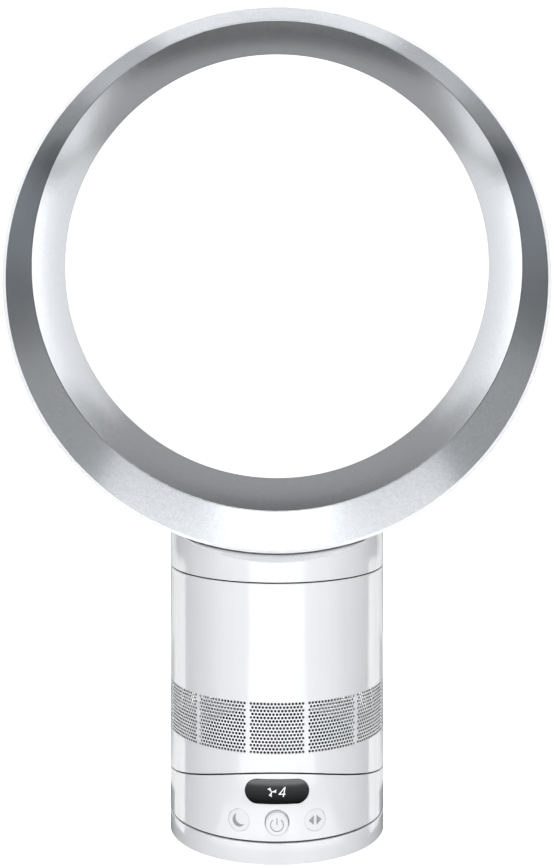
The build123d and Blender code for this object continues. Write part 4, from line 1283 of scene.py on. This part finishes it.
def dark_room() -> tuple[Card, ...]:
    """The room that the fan's reflections show, with its pale cards.

    Dark panels close it on every side. Pale panels hang just inside its ceiling and walls, and
    pieces of rings lie on its floor. On both sides of the column stands a low screen with a card
    at its foot, which lights the column's edge.

    Returns:
        The cards.
    """
    dark = 0.07
    side, front, back, top, base = 1.6, -1.75, 1.6, 2.2, 0.001
    # Planes of the pale panels, then their edges along X, along Y and up.
    gap = 0.004
    roof, near_wall, far_wall, end_wall = top - gap, front + gap, back - gap, side - gap
    inner, outer = 0.5, 1.0
    first, second, third = -0.9, -0.3, 0.2
    sill, shelf, eaves = 0.6, 0.9, 1.4
    # Angles of the rings' pieces from straight behind, then their distances from the axis.
    rear, rear_side, wing_side, ahead = 24.0, 46.0, 75.0, 152.0
    close, bend, middle, room = 0.12, 0.42, 0.56, 1.6
    # The screen and the near edge of the card at its foot, in plan from the front, and heights.
    screen = ((0.242, 0.047), (0.230, 0.091), (0.197, 0.154))
    foot = ((0.066, -0.0364), (0.0706, -0.0291), (0.08, -0.008))
    low, high = 0.006, 0.15
    return (
        Card("dark_floor", panel((-side, front, base), (side, back, base)), dark),
        Card("dark_front", panel((-side, front, base), (side, front, top)), dark),
        Card("dark_back", panel((-side, back, base), (side, back, top)), dark),
        Card("dark_top", panel((-side, front, top), (side, back, top)), dark),
        Card("dark_side", panel((side, front, base), (side, back, top)), dark, True),
        Card("top_front", panel((-side, front, roof), (side, first, roof)), 1.45),
        Card("top_middle", panel((-0.4, first, roof), (0.4, second, roof)), 3.4),
        Card("front_box", panel((-0.2, near_wall, sill), (0.2, near_wall, shelf)), 3.5),
        Card("side_front", panel((end_wall, front, base), (end_wall, second, top)), 0.45, True),
        Card("side_middle", panel((end_wall, second, base), (end_wall, third, top)), 0.15, True),
        Card("back_outer", panel((outer, far_wall, base), (side, far_wall, eaves)), 2.0, True),
        Card("back_inner", panel((inner, far_wall, base), (outer, far_wall, shelf)), 1.03, True),
        Card("back_inner_high", panel((inner, far_wall, shelf), (outer, far_wall, eaves)), 0.42, True),
        Card("back_low", panel((-inner, far_wall, base), (inner, far_wall, sill)), 0.25),
        Card("back_high", panel((-inner, far_wall, sill), (inner, far_wall, eaves)), 0.42),
        Card("front_middle", sector((ahead, 360.0 - ahead), (0.3, 1.7)), 3.4),
        Card("front_side", sector((115.0, ahead), (0.3, 1.7)), 0.6, True),
        Card("front_near", sector((135.0, 225.0), (0.085, 0.165)), 2.0),
        Card("front_strip", sector((145.0, 215.0), (0.212, 0.3)), 3.5),
        Card("back_strip", sector((-rear, rear), (0.26, middle)), 1.4),
        Card("back_far", sector((-rear, rear), (0.9, room)), 0.44),
        Card("wedge_near", sector((rear, rear_side), (close, middle)), 0.55, True),
        Card("wedge_far", sector((rear, rear_side), (middle, room)), 1.15, True),
        Card("wing_near", sector((rear_side, wing_side), (close, bend)), 1.2, True),
        Card("wing_far", sector((rear_side, wing_side), (bend, 0.72)), 0.36, True),
        Card("near_outer", ramp(foot[:2], screen[:2], (low, low)), 2.7, True),
        Card("near_inner", ramp(foot[1:], screen[1:], (low, low)), 1.9, True),
        Card("blade_outer", ramp(screen[:2], screen[:2], (low, high)), 2.7, True),
        Card("blade_inner", ramp(screen[1:], screen[1:], (low, high)), 1.9, True),
    )


def dress_nodes(frame: dict[str, Any]) -> dict[str, Material]:
    """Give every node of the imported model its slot's finish.

    Args:
        frame: The loaded frame.

    Returns:
        The materials by slot.
    """
    made = {slot: finish.material() for slot, finish in FINISHES.items()}
    for part in frame["record"]["subparts"]:
        for socket in frame["nodes"][part["node"]].material_slots:
            socket.material = made[part["material_slot"]]
        LOG.info("node %s: %s", part["node"], part["material_slot"])
    return made


def main() -> None:
    """Load the frame, set the camera and studio, dress the nodes and add the fine pieces."""
    logging.basicConfig(level=logging.INFO, format="%(message)s")
    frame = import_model()
    Camera().build()
    made = dress_nodes(frame)
    for sheet in Inlet().build(made["grille_sheet"], INLET_PAINTED_SHADE.material()):
        LOG.info("%s: %d faces", sheet.name, len(sheet.data.polygons))
    Marks(
        window=Face("control_base", height=47.2 * MM, reach=72.85 * MM),
        sleep=Face("sleep_key", height=27.8 * MM, reach=72.35 * MM, turn=-19.7),
        swing=Face("swing_key", height=27.8 * MM, reach=72.35 * MM, turn=19.7),
        power=Face("power_key", height=27.8 * MM, reach=77.4 * MM, curved=False),
    ).build(KEY_PRINT.material(), LIT_PRINT.material())
    Studio(LAMPS, dark_room()).build()
    bpy.context.scene.view_settings.view_transform = "Standard"


if __name__ == "__main__":
    main()
